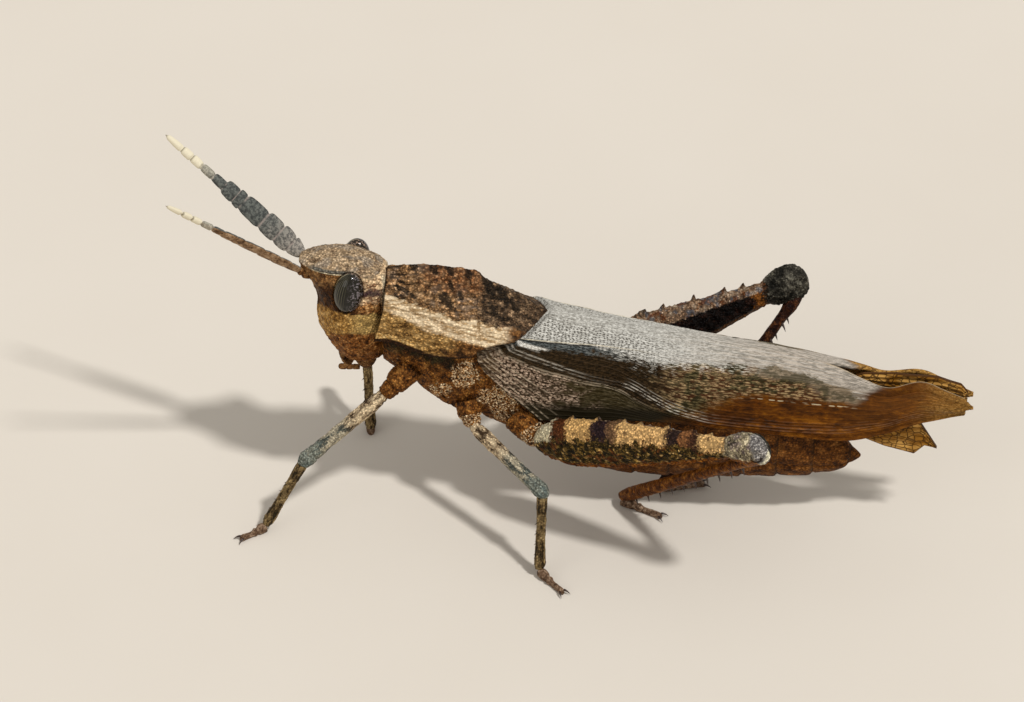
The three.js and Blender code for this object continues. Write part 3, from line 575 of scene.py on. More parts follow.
class Finish(Nodes):
    """A node material in the making. Places and sizes are in millimetres."""

    def __init__(self, name, roughness, specular=0.06):
        self.material = bpy.data.materials.new(name)
        self.material.use_nodes = True
        super().__init__(self.material.node_tree)
        self.shader = self.tree.nodes["Principled BSDF"]
        self.shader.inputs["Roughness"].default_value = roughness
        self.shader.inputs["Specular IOR Level"].default_value = specular
        place = self.node("ShaderNodeTexCoord", {}, out="Object")
        place = self.node("ShaderNodeVectorMath", {0: place, 3: 1 / MM}, operation="SCALE")
        centred = {0: place, 1: (CENTRE_X, 0, 0)}
        self.place = self.node("ShaderNodeVectorMath", centred, operation="ADD")
        x, y, z = (self.read("ShaderNodeSeparateXYZ", {0: self.place}, out=k) for k in range(3))
        self.x = x
        self.lie, self.rise = slanted(x, self.math("ABSOLUTE", y), z)

    def field(self, name):
        return self.read("ShaderNodeAttribute", {}, out="Fac", attribute_name=name)

    def mask(self, value, low, high):
        """0 where value is below low, 1 where it is above high."""
        sockets = {"Value": value, "From Min": low, "From Max": high}
        return self.read("ShaderNodeMapRange", sockets, interpolation_type="SMOOTHSTEP")

    def band(self, value, middle, half, soft):
        """1 within half of middle, fading over soft."""
        return self.mask(self.math("ABSOLUTE", value - middle), half + soft, half - soft)

    def vector(self, size, stretch, shift):
        scale = [1 / (size * s) for s in stretch]
        sockets = {"Vector": self.place, "Location": (shift, shift, shift), "Scale": scale}
        return self.node("ShaderNodeMapping", sockets)

    def noise(self, size, stretch=(1, 1, 1), detail=3.0, rough=0.55, shift=0.0):
        sockets = {"Vector": self.vector(size, stretch, shift), "Scale": 1.0}
        sockets.update({"Detail": detail, "Roughness": rough})
        return self.read("ShaderNodeTexNoise", sockets)

    def cells(self, size, stretch=(1, 1, 1), feature="F1", random=1.0):
        sockets = {"Vector": self.vector(size, stretch, 0.0), "Scale": 1.0, "Randomness": random}
        return self.read("ShaderNodeTexVoronoi", sockets, out="Distance", feature=feature)

    def pebbles(self, size, stretch=(1, 1, 1), shift=0.0):
        """Granules: bright on their tops, each in its own degree, and 0 in the pits between. Where
        it scales a colour, it paints highlights on the tops and shade in the pits.
        """
        sockets = {"Vector": self.vector(size, stretch, shift), "Scale": 1.0}
        away = self.read("ShaderNodeTexVoronoi", sockets, out="Distance")
        tint = self.node("ShaderNodeTexVoronoi", sockets, out="Color")
        own = self.read("ShaderNodeSeparateXYZ", {0: tint})
        return self.mask(away, 0.75, 0.15) * (own * 0.8 + 0.35)

    def blend(self, share, under, over):
        """One colour laid over another."""
        sockets = {0: share, 6: under, 7: over}
        for key in (6, 7):
            if isinstance(sockets[key], str):
                sockets[key] = colour_of(sockets[key])
        return Coat(self, self.node("ShaderNodeMix", sockets, out=2, data_type="RGBA"))

    def tones(self, value, low, high, under, over):
        """One colour where value is below low and another where it is above high."""
        return self.blend(self.mask(value, low, high), under, over)

    def granular(self, colour, size, contrast, base, depth):
        """Ends a finish with granules, which show in its bump, and in its tone as painted highlights
        on their tops and painted shade in the pits.
        """
        granule_and_painted_light = self.pebbles(size)
        # Painted light: the colour is brightened on the granule tops and darkened in the pits.
        colour.shade(granule_and_painted_light * contrast + base)
        return self.done(colour, granule_and_painted_light, depth)

    def done(self, colour, height, depth):
        """Joins the colour and a bump of the given depth to the shader."""
        sockets = {"Height": height, "Distance": depth * MM, "Strength": 1.0}
        bump = self.node("ShaderNodeBump", sockets)
        self.tree.links.new(bump, self.shader.inputs["Normal"])
        self.tree.links.new(colour.socket, self.shader.inputs["Base Color"])
        return self.material


def mottled(f, dark, middle, light, size, stretch=(1, 1, 1), shift=0.0):
    """Three tones in irregular patches with fine streaks."""
    broad = f.noise(size, stretch, detail=4, rough=0.65, shift=shift)
    fine = f.noise(size * 0.2, stretch, detail=3, rough=0.7, shift=shift + 3)
    tone = broad * 0.7 + fine * 0.4
    colour = f.tones(tone, 0.44, 0.55, dark, middle)
    return f.tones(tone, 0.55, 0.68, colour, light)


def head_finish():
    f = Finish("head", 0.5)
    granule_and_painted_light = f.pebbles(0.19)
    pits = f.noise(0.13, (2.5, 1, 1), detail=2, rough=0.6, shift=2.0)
    cloud = f.noise(0.9, detail=4, rough=0.65) - 0.5
    rise = f.rise + cloud
    grey = f.noise(0.8, (1.6, 1, 1), detail=3, shift=33.0)
    crown = mottled(f, "#6b5540", "#a38a6b", "#c2a98a", 0.5, (2.2, 1, 1))
    crown.lay(f.mask(grey, 0.5, 0.62) * 0.5, "#8f867a")
    crown.lay(f.mask(pits, 0.54, 0.64) * 0.8, "#4f402c")
    lower = mottled(f, "#2b1709", "#75461c", "#a87a48", 0.4, (1.3, 1, 1), 5.0)
    lower.lay(f.mask(f.rise + cloud * 0.8, 12.1, 11.6) * f.mask(cloud, 0.05, 0.25), "#2a170c")
    cheek = mottled(f, "#6e4a1c", "#9a7239", "#c9a163", 0.45, (1.5, 1, 1), 9.0)
    cheek.lay(f.mask(f.lie, -16.6, -15.2) * 0.35, "#b8a56c")
    dark = mottled(f, "#1d0f07", "#38200d", "#5c3a1a", 0.5, (1.5, 1, 1), 12.0)
    # Behind the eye: a dark patch by its top, cream, a purplish patch, then rust.
    streak = f.noise(0.4, (2.5, 1, 0.6), detail=4, rough=0.7, shift=7.0)
    behind = f.tones(streak, 0.42, 0.55, "#7b5a3f", "#d2b48c")
    torn = f.noise(0.5, detail=4, rough=0.7, shift=37.0) - 0.5
    purple = f.band(f.rise + cloud * 0.7 + torn, 15.3, 0.28, 0.2)
    purple = purple * f.mask(f.lie + torn * 2.0, -13.2, -14.0)
    behind.lay(purple * 0.9, "#33222a")
    patch = f.band(f.rise + cloud * 0.4, 16.75, 0.3, 0.2)
    behind.lay(patch * f.band(f.lie + cloud * 0.5, -14.75, 0.5, 0.25), "#2b2120")
    rust = mottled(f, "#2c190e", "#84572c", "#c39a66", 0.35, (1.4, 1, 1), 15.0)
    behind.lay(f.mask(rise + torn, 14.7, 14.3), rust)
    colour = f.tones(rise, 12.0, 12.35, lower, cheek)
    upper_cheek = f.mask(f.lie, -16.2, -18.6) * 0.75 + 13.65
    colour.lay(f.mask(rise - upper_cheek, -0.1, 0.15), dark)
    front = mottled(f, "#452a15", "#76532f", "#9c774c", 0.4, (1, 1, 2), 17.0)
    colour.lay(f.mask(rise, 15.5, 16.2), front)
    rear = f.mask(f.lie, -15.7, -15.2) * f.mask(rise, 13.6, 13.9)
    colour.lay(rear, behind)
    # The rim of the crown in front of the eye: a slate patch above a thin cream line.
    crown_edge = f.field("crown")
    colour.lay(f.mask(crown_edge + cloud * 0.12, 0.36, 0.46), crown)
    before_eye = f.mask(f.lie, -15.9, -16.5) * f.mask(f.lie + cloud, -19.4, -18.6)
    slate = f.band(crown_edge + cloud * 0.1, 0.6, 0.22, 0.08) * before_eye
    colour.lay(slate * 0.9, f.tones(pits, 0.45, 0.6, "#33332f", "#5c5b54"))
    line = f.band(crown_edge + cloud * 0.04, 0.34, 0.05, 0.04) * before_eye
    colour.lay(line * 0.9, "#d6c8a6")
    golden = f.field("rim") * f.mask(f.rise, 12.9, 12.2)
    colour.lay(golden, "#a9772f")
    hind_rim = f.field("rim") * f.mask(f.rise, 12.8, 13.3)
    colour.lay(hind_rim, "#c4b597")
    # Painted highlights on the granule tops and painted shade in the pits between.
    colour.shade(granule_and_painted_light * 1.2 + 0.62)
    return f.done(colour, granule_and_painted_light + pits * 0.5, 0.06)


def eye_finish():
    f = Finish("eye", 0.11, specular=0.3)
    turn = f.field("turn") + (f.noise(0.6) - 0.5) * 0.03
    high = f.math("ABSOLUTE", f.field("high"))
    stripe = f.math("SINE", turn * EYE_STRIPES)
    colour = f.blend(f.noise(0.25), "#090803", "#1b170c")
    front = f.band(turn, 0.22, 0.2, 0.1) * f.mask(high, 0.95, 0.7)
    colour.lay(f.mask(stripe, 0.5, 1.0) * front * 0.4, "#8d8669")
    colour.lay(f.mask(turn, 0.09, 0.04) * 0.8, "#8c8468")
    mottle = f.mask(f.noise(0.15, detail=2, rough=0.6, shift=4), 0.5, 0.62)
    rear = f.mask(turn + f.noise(0.7, shift=9.0) * 0.5, 0.68, 0.92) * mottle
    colour.lay(rear * 0.6, "#948a8e")
    colour.lay(f.mask(turn, 0.98, 1.1) * mottle * 0.6, "#9a7a5a")
    return f.done(colour, f.cells(0.07, random=0.3), 0.0015)


def mouth_finish():
    f = Finish("mouthparts", 0.5)
    colour = mottled(f, "#2b180c", "#6a4522", "#a17a4c", 0.4)
    # Granules with painted highlights on their tops and painted shade in the pits.
    return f.granular(colour, 0.16, 0.8, 0.65, 0.04)


def antenna_finish():
    f = Finish("antenna", 0.55)
    segment = f.field("segment")
    within = f.math("FRACT", segment)
    across = f.math("ABSOLUTE", f.field("across"))
    grain = f.noise(0.22, detail=4, rough=0.7)
    cloud = f.noise(0.7, detail=3, rough=0.6, shift=8.0)
    inner = f.tones(grain, 0.4, 0.62, "#3e403e", "#676963")
    root = f.mask(segment + cloud * 3.0, 5.2, 1.8)
    inner.lay(root * 0.85, f.tones(grain, 0.42, 0.58, "#6a6660", "#aaa195"))
    edge = f.math("MAXIMUM", f.mask(within, 0.9, 0.99), f.mask(within, 0.06, 0.0))
    inner.lay(edge * f.mask(cloud, 0.4, 0.55) * 0.7, "#a2938a")
    inner.lay(f.mask(across, 0.93, 1.0) * 0.5, "#2f2c28")
    outer = mottled(f, "#4e3826", "#86684a", "#b39677", 0.4, (1.5, 1, 1))
    colour = f.tones(f.field("inner"), -0.1, 0.25, outer, inner)
    grey = f.mask(segment + (grain - 0.5) * 0.8, 6.9, 7.2)
    colour.lay(grey * 0.8, f.tones(grain, 0.42, 0.6, "#8b8679", "#b5ae9c"))
    tip = f.mask(segment + (grain - 0.5) * 0.6, 7.9, 8.2)
    colour.lay(tip, f.tones(within, 0.84, 0.98, "#dcd2b8", "#8f8672"))
    return f.done(colour, grain, 0.03)


def pronotum_finish():
    f = Finish("pronotum", 0.55)
    part, x = f.field("part"), f.x
    granule_and_painted_light = f.pebbles(0.185, (1.2, 1, 1))
    streak = f.noise(0.42, (3.0, 1, 1), detail=4, rough=0.7)
    fine = f.noise(0.14, (1.5, 1, 1), detail=2, rough=0.7, shift=2.0)
    cloud = f.noise(0.9, (1.6, 1, 1), detail=5, rough=0.7, shift=6.0) - 0.5
    # Upper side: brown, streaked in front, rusty along the crest, dark behind the notch.
    upper = mottled(f, "#2f1f13", "#84623f", "#b3906a", 0.45, (1.3, 1, 1))
    ashen = f.mask(f.noise(1.3, detail=4, rough=0.65, shift=19.0), 0.5, 0.6)
    upper.lay(ashen * f.mask(streak, 0.38, 0.52) * 0.5, "#94816f")
    front = f.mask(x + cloud * 3.0, -10.6, -12.2) * f.mask(streak, 0.5, 0.56)
    upper.lay(front * 0.9, "#24190f")
    rust = f.mask(part + cloud * 0.3, 0.2, 0.06) * f.mask(x + cloud * 2.0, -11.4, -9.8)
    upper.lay(rust * 0.8, mottled(f, "#2f190c", "#774a29", "#b08660", 0.35, (1, 1, 1), 21.0))
    rear = f.mask(x + cloud * 1.6, -6.4, -5.7)
    upper.lay(rear, mottled(f, "#1f1810", "#55412e", "#94795c", 0.42, (1.8, 1, 1), 8.0))
    torn = f.noise(0.45, (1.3, 1, 1), detail=5, rough=0.8, shift=25.0) - 0.5
    blotch = f.mask(f.field("blotch") * 1.1 + torn * 1.9 + cloud * 0.6, 0.36, 0.58)
    upper.lay(blotch * 0.85, f.tones(fine, 0.45, 0.6, "#120f0b", "#33281c"))
    # Flank below the stripe: gold-tan in front, rust and dark towards the hind corner.
    flank = mottled(f, "#4c3316", "#96713e", "#cba469", 0.42, (1.9, 1, 1), 4.0)
    hind = f.mask(x + part * 5.0 + cloud * 3.0, -5.2, -2.6)
    flank.lay(hind, mottled(f, "#2a1809", "#6a4420", "#9a6e3f", 0.4, (1, 1, 1), 14.0))
    flank.lay(f.mask(part + cloud * 0.06, 0.955, 0.985), "#2a1a0e")
    yellow = f.band(part + cloud * 0.03, 0.905, 0.032, 0.012) * f.mask(x, -9.9, -10.9)
    flank.lay(yellow, f.tones(fine, 0.4, 0.6, "#ab8146", "#dab67a"))
    flank.lay(f.mask(part + cloud * 0.03, 0.94, 0.955) * f.mask(x, -9.4, -10.4), "#2c1a0c")
    # The pale stripe between them.
    fibre = f.noise(0.2, (4.0, 1, 1), detail=3, rough=0.7, shift=51.0)
    cream = f.tones(streak * 0.5 + fibre * 0.5, 0.42, 0.56, "#a98a62", "#e6cfab")
    edge = cloud * 0.16 + (streak - 0.5) * 0.16
    over = f.field("over") + edge
    under = f.field("under") + edge
    inside = f.mask(over, -0.012, 0.025) * f.mask(under, 0.03, -0.03)
    thin = f.mask(x, -13.4, -11.0) * 0.35 + 0.65
    thin = f.math("MAXIMUM", thin, f.mask(streak, 0.48, 0.55))
    # Painted light on the upper side: granule-sized spots made brighter and darker, as highlights on
    # coarse granules and shade between them.
    coarse_granule_light = f.pebbles(0.32, (1.3, 1, 1), shift=5.0)
    upper.shade(coarse_granule_light * 0.9 + 0.62)
    colour = f.tones(over, -0.02, 0.03, upper, flank)
    colour.lay(inside * thin * f.mask(x + cloud, -3.1, -4.3), cream)
    colour.lay(blotch * f.mask(f.field("under"), 0.0, 0.05) * 0.8, "#2a1b10")
    colour.lay(f.field("rim") * 0.75, "#33241a")
    smooth_part = inside * 0.65
    # Painted highlights on the granule tops and painted shade in the pits, weaker on the smooth
    # stripe.
    grain = granule_and_painted_light * (1.35 - smooth_part) + streak * smooth_part * 0.5
    colour.shade(grain + fine * 0.4 + 0.32)
    return f.done(colour, streak * 0.4 + granule_and_painted_light * (1.2 - smooth_part), 0.07)


def pleura_finish():
    f = Finish("pleura", 0.5)
    base = mottled(f, "#241408", "#6b4018", "#a06e35", 0.5)
    granule_and_painted_light = f.pebbles(0.19)
    speck = f.noise(0.15, detail=3, rough=0.7)
    cloud = f.noise(0.9, detail=4, rough=0.65, shift=3.0)
    line = f.rise + (f.lie + 10.0) * 0.35 + (cloud - 0.5) * 1.5
    dark = f.band(line, 10.6, 0.6, 0.35) * f.mask(f.lie, -14.2, -13.2) * f.mask(f.lie, -7.0, -9.0)
    base.lay(dark * 0.92, f.tones(cloud, 0.45, 0.6, "#17130c", "#332f1c"))
    bead = f.pebbles(0.15, shift=7.0)
    dense = f.mask(f.field("crowd") + (cloud - 0.5) * 1.2, 0.3, 0.6) * f.mask(bead, 0.1, 0.36)
    cream = f.math("MAXIMUM", dense, f.mask(f.field("granule"), 0.5, 0.7) * 0.7)
    colour = f.blend(cream * 0.95, base, f.tones(speck, 0.4, 0.6, "#a87a48", "#ecd6b0"))
    # Painted highlights on the granule tops and painted shade in the pits between.
    colour.shade(granule_and_painted_light * 1.3 + 0.55)
    return f.done(colour, speck + granule_and_painted_light, 0.08)


def abdomen_finish():
    f = Finish("abdomen", 0.5)
    base = mottled(f, "#341c0b", "#613812", "#8a5a2a", 0.6, (1.4, 1, 1))
    rim = f.mask(f.field("ring"), 0.82, 0.98)
    colour = f.blend(rim * 0.7, base, "#241508")
    # Granules with painted highlights on their tops and painted shade in the pits.
    return f.granular(colour, 0.2, 0.9, 0.6, 0.05)


def tegmen_finish():
    f = Finish("forewing", 0.5)
    part, x = f.field("part"), f.x
    line = f.field("line")
    cloud = f.noise(1.1, (2.0, 1, 1), detail=5, rough=0.7) - 0.5
    patch = f.noise(0.6, (1.8, 1, 1), detail=4, rough=0.7, shift=31.0) - 0.5
    streak = f.noise(0.17, (8.0, 1, 1), detail=3, rough=0.7)
    fine = f.noise(0.12, (2.0, 1, 1), detail=3, rough=0.75, shift=5.0)
    lines = f.math("ABSOLUTE", f.math("FRACT", line) - 0.5) * 2.0
    vein = f.mask(lines, 0.35, 0.02)

    def rows(along, across, random):
        """Small cells in rows along the wing, as distances from their middles."""
        place = f.node("ShaderNodeCombineXYZ", {0: x * along, 1: line * across, 2: 0.0})
        sockets = {"Vector": place, "Scale": 1.0, "Randomness": random}
        return f.read("ShaderNodeTexVoronoi", sockets, out="Distance", voronoi_dimensions="2D")

    dots = rows(3.5, 2.0, 0.55)
    dot = f.mask(dots, 0.34, 0.2)
    dashes = rows(1.5, 3.2, 0.9)
    dash = f.mask(dashes, 0.5, 0.26) * f.mask(fine, 0.38, 0.52)
    net = f.mask(rows(4.0, 3.0, 0.85), 0.56, 0.34)
    # The back of the wings: silver with rows of dark dots in front, greyer and streaked behind.
    silver = f.tones(fine, 0.36, 0.6, "#8f8b82", "#c6c3ba")
    grey = f.tones(streak, 0.38, 0.6, "#857b6e", "#b9ad9e")
    silver.lay(f.mask(x + cloud * 6.0, 6.0, 18.0), grey)
    silver.lay(vein * f.mask(x, 1.0, 8.0) * 0.4, "#d5d2cb")
    silver.lay(f.mask(streak, 0.52, 0.4) * f.mask(part, 0.2, 0.08) * 0.5, "#7f7a70")
    pepper = dot * f.mask(x + patch * 9.0, 12.0, 4.0) * f.mask(part + patch * 0.2, 0.03, 0.14)
    silver.lay(pepper * 0.9, "#38332b")
    silver.lay(f.mask(patch, 0.1, 0.2) * f.mask(part, 0.04, 0.16) * 0.3, "#6f6a62")
    # Below its border: blue-black clouds near the base, olive-black ones further back.
    wild = f.mask(x, -1.0, 3.0) * 0.14 + 0.08
    border = part - f.field("border") + cloud * 0.1 + patch * wild + (streak - 0.5) * wild
    dark = f.tones(fine, 0.4, 0.62, "#1d1509", "#3a2b19")
    blue = f.tones(fine, 0.42, 0.6, "#262b2b", "#646866")
    dark.lay(f.mask(border + patch * 0.15, 0.15, 0.08) * f.mask(x, 7.0, 3.0) * 0.9, blue)
    tan = f.mask(x + patch * 8.0, 6.5, 10.5)
    flecked = f.tones(patch, -0.08, 0.1, "#4a2b16", "#574a31")
    flecked.lay(dash * 0.85, "#b3966c")
    olive = f.mask(f.noise(1.3, (1.5, 1, 1), detail=4, rough=0.65, shift=12.0), 0.48, 0.55)
    flecked.lay(olive * 0.9, f.blend(dash * 0.4, "#2a2713", "#8d7f56"))
    dark.lay(tan, flecked)
    intruding = f.mask(border + patch * 0.3, 0.16, 0.02) * f.mask(x, 2.0, 5.0) * dash
    dark.lay(intruding * 0.85, "#cfcbc0")
    rear = f.tones(streak, 0.4, 0.6, "#6f624f", "#93826c")
    rear.lay(olive * 0.7, "#3e3a28")
    dark.lay(f.mask(x + cloud * 5.0, 13.5, 17.0) * f.mask(border, 0.3, 0.14), rear)
    # The lower field: a pinkish network on brown near the base, dark olive behind and below.
    pale = f.tones(fine, 0.4, 0.62, "#6d5846", "#b8a08a")
    lower = f.blend(net, f.tones(patch, -0.1, 0.12, "#2c1f12", "#3d3020"), pale)
    lower.lay(f.mask(patch + cloud * 0.5, -0.03, 0.12) * 0.8, "#33271a")
    root = f.tones(streak, 0.4, 0.6, "#2a1c0e", "#57432a")
    lower.lay(f.mask(x + patch * 3.0, -4.2, -5.2) * 0.8, root)
    back = f.mask(x + cloud * 9.0 + patch * 9.0, -0.5, 3.5)
    lower.lay(back, f.blend(dash * 0.35, "#332a14", "#7d7055"))
    lower.lay(f.mask(part + cloud * 0.1, 0.84, 0.92) * f.mask(x, -4.5, -2.0), "#251f12")
    # The hind flank and the tip: warm brown, gold towards the end, with a dark net.
    warm = mottled(f, "#331904", "#5a3006", "#85500f", 0.9, (2.6, 1, 1), 3.0)
    warm.lay(f.mask(x + cloud * 6.0, 19.0, 27.0) * 0.4, "#7d4d1e")
    folded = f.mask(f.noise(2.2, (1.4, 1, 1), detail=4, rough=0.6, shift=57.0), 0.5, 0.62)
    warm.lay(folded * 0.6, f.tones(streak, 0.4, 0.6, "#2c1505", "#4d2a0b"))
    gold = f.mask(x + cloud * 3.0, 26.5, 31.5) * 0.7
    gold = f.math("MAXIMUM", gold, f.field("gold"))
    warm.lay(gold, f.tones(fine, 0.35, 0.65, "#865c24", "#b98f4c"))
    mesh = f.mask(f.cells(0.4, (1.5, 1, 1), feature="DISTANCE_TO_EDGE"), 0.06, 0.02)
    warm.lay(mesh * gold * 0.8, "#311b0a")
    radial = part - f.field("radial")
    side = f.tones(radial + cloud * 0.02, -0.005, 0.01, dark, lower)
    behind = f.mask(x + cloud * 3.0 + (part - 0.67) * 14.0, 11.5, 15.5)
    side.lay(behind * f.mask(part + patch * 0.08, 0.61, 0.67), warm)
    colour = f.tones(border, -0.015, 0.02, silver, side)
    tip = f.math("MAXIMUM", f.mask(x + part * 3.2 + cloud * 2.0, 24.6, 25.8), f.field("gold"))
    colour.lay(tip, warm)
    # A painted highlight: a pale line along the near forewing's upper edge towards the tip.
    colour.lay(f.field("rim") * 0.85, "#b5a184")
    # Pale and dark veins: the edge of the back, the bright vein, the radial vein, the fan.
    near = f.mask(x, 3.5, 0.5)
    edge = part - f.field("edge")
    colour.lay(f.band(edge, -0.004, 0.005, 0.006) * f.mask(x, 9.0, 3.0) * 0.8, "#ddd0b4")
    colour.lay(f.band(edge, 0.016, 0.007, 0.006) * f.mask(x, 6.0, 1.0) * 0.8, "#1d1712")
    cell = f.band(part - f.field("bright_at"), -0.085, 0.036, 0.02)
    cell = cell * f.band(x + patch * 3.0 + (part - 0.45) * 12.0, -2.6, 2.0, 0.3)
    colour.lay(cell, f.blend(dot, "#dedad0", "#8f887c"))
    broken = f.mask(streak, 0.42, 0.52)
    shine = f.mask(x, 4.6, 5.8) * f.mask(x, 13.0, 9.5) * 0.75 + near * 0.45 + 0.05
    colour.lay(f.field("bright") * shine * broken, "#e0d6c4")
    colour.lay(f.field("bundle") * f.mask(x, 8.0, 5.0) * 0.6 * broken, "#b8a68d")
    colour.lay(f.field("fan") * broken * 0.65, "#c8b59a")
    row_of_dashes = f.band(part, 0.68, 0.005, 0.004) * f.band(x, 18.5, 4.0, 1.0)
    colour.lay(row_of_dashes * f.mask(dashes, 0.4, 0.3), "#cdbd9b")
    colour.shade(fine * 0.8 + 0.58)
    return f.done(colour, vein * 0.5 + fine * 0.8 + f.field("bright") * 0.4, 0.05)


def hindwing_finish():
    f = Finish("hindwing", 0.45)
    tone = f.noise(0.9, (2, 1, 1), detail=3)
    colour = f.tones(tone, 0.38, 0.62, "#85591c", "#bd8f4a")
    net = f.cells(0.4, (1.5, 1, 1), feature="DISTANCE_TO_EDGE", random=0.6)
    colour.lay(f.mask(net, 0.07, 0.02) * 0.85, "#38200c")
    rays = f.math("ABSOLUTE", f.math("FRACT", f.field("ray")) - 0.5)
    colour.lay(f.mask(rays, 0.05, 0.015) * 0.85, "#38200c")
    colour.lay(f.mask(f.field("rim"), 0.08, 0.02), "#4d3014")
    return f.done(colour, f.mask(net, 0.08, 0.02), 0.04)


def leg_finish(name, base, light, dark, knee):
    """Streaks along a walking leg, with a bluish tinge near the knee."""
    f = Finish(name, 0.5)
    run = f.field("run")
    along_and_round = {0: run * 0.9, 1: f.field("c") * 1.1, 2: f.field("s") * 1.1}
    place = f.node("ShaderNodeCombineXYZ", along_and_round)
    sockets = {"Vector": place, "Scale": 1.0, "Detail": 4.0, "Roughness": 0.7}
    streak = f.read("ShaderNodeTexNoise", sockets)
    fine = f.noise(0.16, detail=3, rough=0.7)
    tone = streak * 0.85 + fine * 0.25
    colour = f.tones(tone, 0.47, 0.53, dark, base)
    colour.lay(f.mask(tone, 0.54, 0.62), light)
    part = f.field("part") + (f.noise(0.6, detail=3, shift=5.0) - 0.5) * 0.4
    blue = f.tones(fine, 0.42, 0.58, f.blend(0.7, knee, "#1a201c"), knee)
    olive = f.tones(tone, 0.47, 0.56, f.blend(0.6, knee, "#1a1a12"), f.blend(0.35, knee, light))
    colour.lay(f.mask(part, 0.36, 0.6) * 0.75, olive)
    colour.lay(f.mask(part, 0.7, 0.92) * 0.8, blue)
    granule_and_painted_light = f.pebbles(0.17)
    # Painted highlights on the granule tops and painted shade in the pits between.
    colour.shade(granule_and_painted_light * 1.1 + 0.65)
    return f.done(colour, granule_and_painted_light + streak, 0.06)


def foot_finish():
    f = Finish("foot", 0.55)
    colour = mottled(f, "#33251c", "#664e3b", "#a48c74", 0.3)
    return f.done(colour, f.noise(0.12, detail=3), 0.04)


def claw_finish():
    f = Finish("claw", 0.3, specular=0.5)
    colour = f.blend(f.noise(0.2), "#130c09", "#3b2013")
    return f.done(colour, f.noise(0.1), 0.01)


def hind_femur_finish():
    f = Finish("hind_femur", 0.5)
    part = f.field("part")
    high = f.field("high")
    cloud = f.noise(0.6, detail=5, rough=0.7) - 0.5
    speck = f.noise(0.14, detail=3, rough=0.7, shift=1.0)
    granule_and_painted_light = f.pebbles(0.185)
    place = part + cloud * 0.1 + (speck - 0.5) * 0.06
    upper = "#d3c7a6"
    for start, tone in HIND_BANDS:
        upper = f.tones(place, start - 0.01, start + 0.01, upper, tone)
    upper.lay(f.mask(cloud + (speck - 0.5) * 0.5, 0.08, 0.16) * 0.75, "#4f3420")
    middle = mottled(f, "#0f0d07", "#2e240c", "#8f7038", 0.34, (1.3, 1, 1))
    flecks = f.mask(f.cells(0.4, (1.5, 1, 1)), 0.34, 0.14)
    middle.lay(flecks * f.mask(f.noise(0.6, shift=4.0), 0.46, 0.54), "#d1ab6c")
    rust = f.mask(f.noise(0.9, detail=3, shift=41.0), 0.54, 0.62)
    middle.lay(rust * 0.7, mottled(f, "#2b1409", "#5c3012", "#96622c", 0.3, (1, 1, 1), 43.0))
    lower = mottled(f, "#371b06", "#6d3c0f", "#a06824", 0.45, (2, 1, 1), 6.0)
    pale = f.mask(place, 0.7, 0.78) * 0.35
    torn = cloud * 1.6 + (speck - 0.5) * 0.5
    colour = f.tones(high + torn + pale, 0.56, 0.68, middle, upper)
    colour.lay(f.mask(high + cloud * 0.6, -0.3, -0.55), lower)
    knee = mottled(f, "#26211a", "#8f8269", "#d2c3a0", 0.5, (1, 1, 1), 2.0)
    knee.lay(f.mask(f.noise(0.7, shift=45.0), 0.54, 0.62) * 0.6, "#7a6a68")
    knee.lay(f.mask(high + cloud * 0.6, -0.1, -0.35), lower)
    disc = f.tones(speck, 0.4, 0.6, "#5f5b59", "#9c9690")
    knee.lay(f.mask(part + cloud * 0.02, 1.01, 1.03), disc)
    colour.lay(f.mask(place, 0.87, 0.9), knee)
    colour.lay(f.field("lobe") * f.mask(high, -0.25, -0.55), "#ece3c4")
    colour.lay(f.field("slit") * f.mask(high, -0.1, -0.3), "#1c120b")
    inner = mottled(f, "#050303", "#0e0806", "#2b170f", 0.6, (2, 1, 1), 7.0)
    inner.lay(f.mask(high + cloud * 0.3, -0.6, -0.8), "#5a3a1e")
    inner.lay(f.band(place, 0.86, 0.02, 0.012), "#7a4a1c")
    dusky = mottled(f, "#12110d", "#2f2c25", "#6a6558", 0.8, (1, 1, 1), 49.0)
    inner.lay(f.mask(place, 0.885, 0.905), dusky)
    top = mottled(f, "#33231a", "#7d624a", "#a9957e", 0.42, (1.3, 1, 1), 9.0)
    top.lay(f.mask(f.noise(0.9, shift=23.0), 0.52, 0.6) * 0.75, "#4c5056")
    top.lay(f.mask(f.noise(0.8, shift=27.0), 0.54, 0.62) * 0.75, "#5f3518")
    top.lay(f.mask(place, 0.885, 0.905), dusky)
    outer = f.field("outer")
    inner.lay(f.mask(high + cloud * 0.5, 0.5, 0.62), top)
    over = f.mask(high, 0.7, 0.85) * f.field("left") * 0.6
    colour = f.tones(outer + over, -0.12, 0.04, inner, colour)
    colour.lay(f.field("right") * f.mask(high + cloud * 0.5, 0.5, 0.62), top)
    colour.lay(f.field("tooth") * 0.8, "#1f1712")
    # Painted highlights on the granule tops and painted shade in the pits, with random speckle.
    colour.shade(granule_and_painted_light * 1.3 + speck * 0.3 + 0.38)
    return f.done(colour, speck * 0.6 + granule_and_painted_light, 0.07)


def hind_tibia_finish():
    f = Finish("hind_tibia", 0.45)
    # The far, right shin gets a darker copy of the near shin's tones: partly its dark inner face,
    # partly painted shade for lying under the body.
    near = mottled(f, "#2e1706", "#5f330e", "#9a6224", 0.5, (1.3, 1, 1))
    far = mottled(f, "#120807", "#2b150d", "#5d371c", 0.5, (1.3, 1, 1))
    colour = f.blend(f.field("left"), far, near)
    # Granules with painted highlights on their tops and painted shade in the pits.
    return f.granular(colour, 0.18, 0.8, 0.6, 0.04)


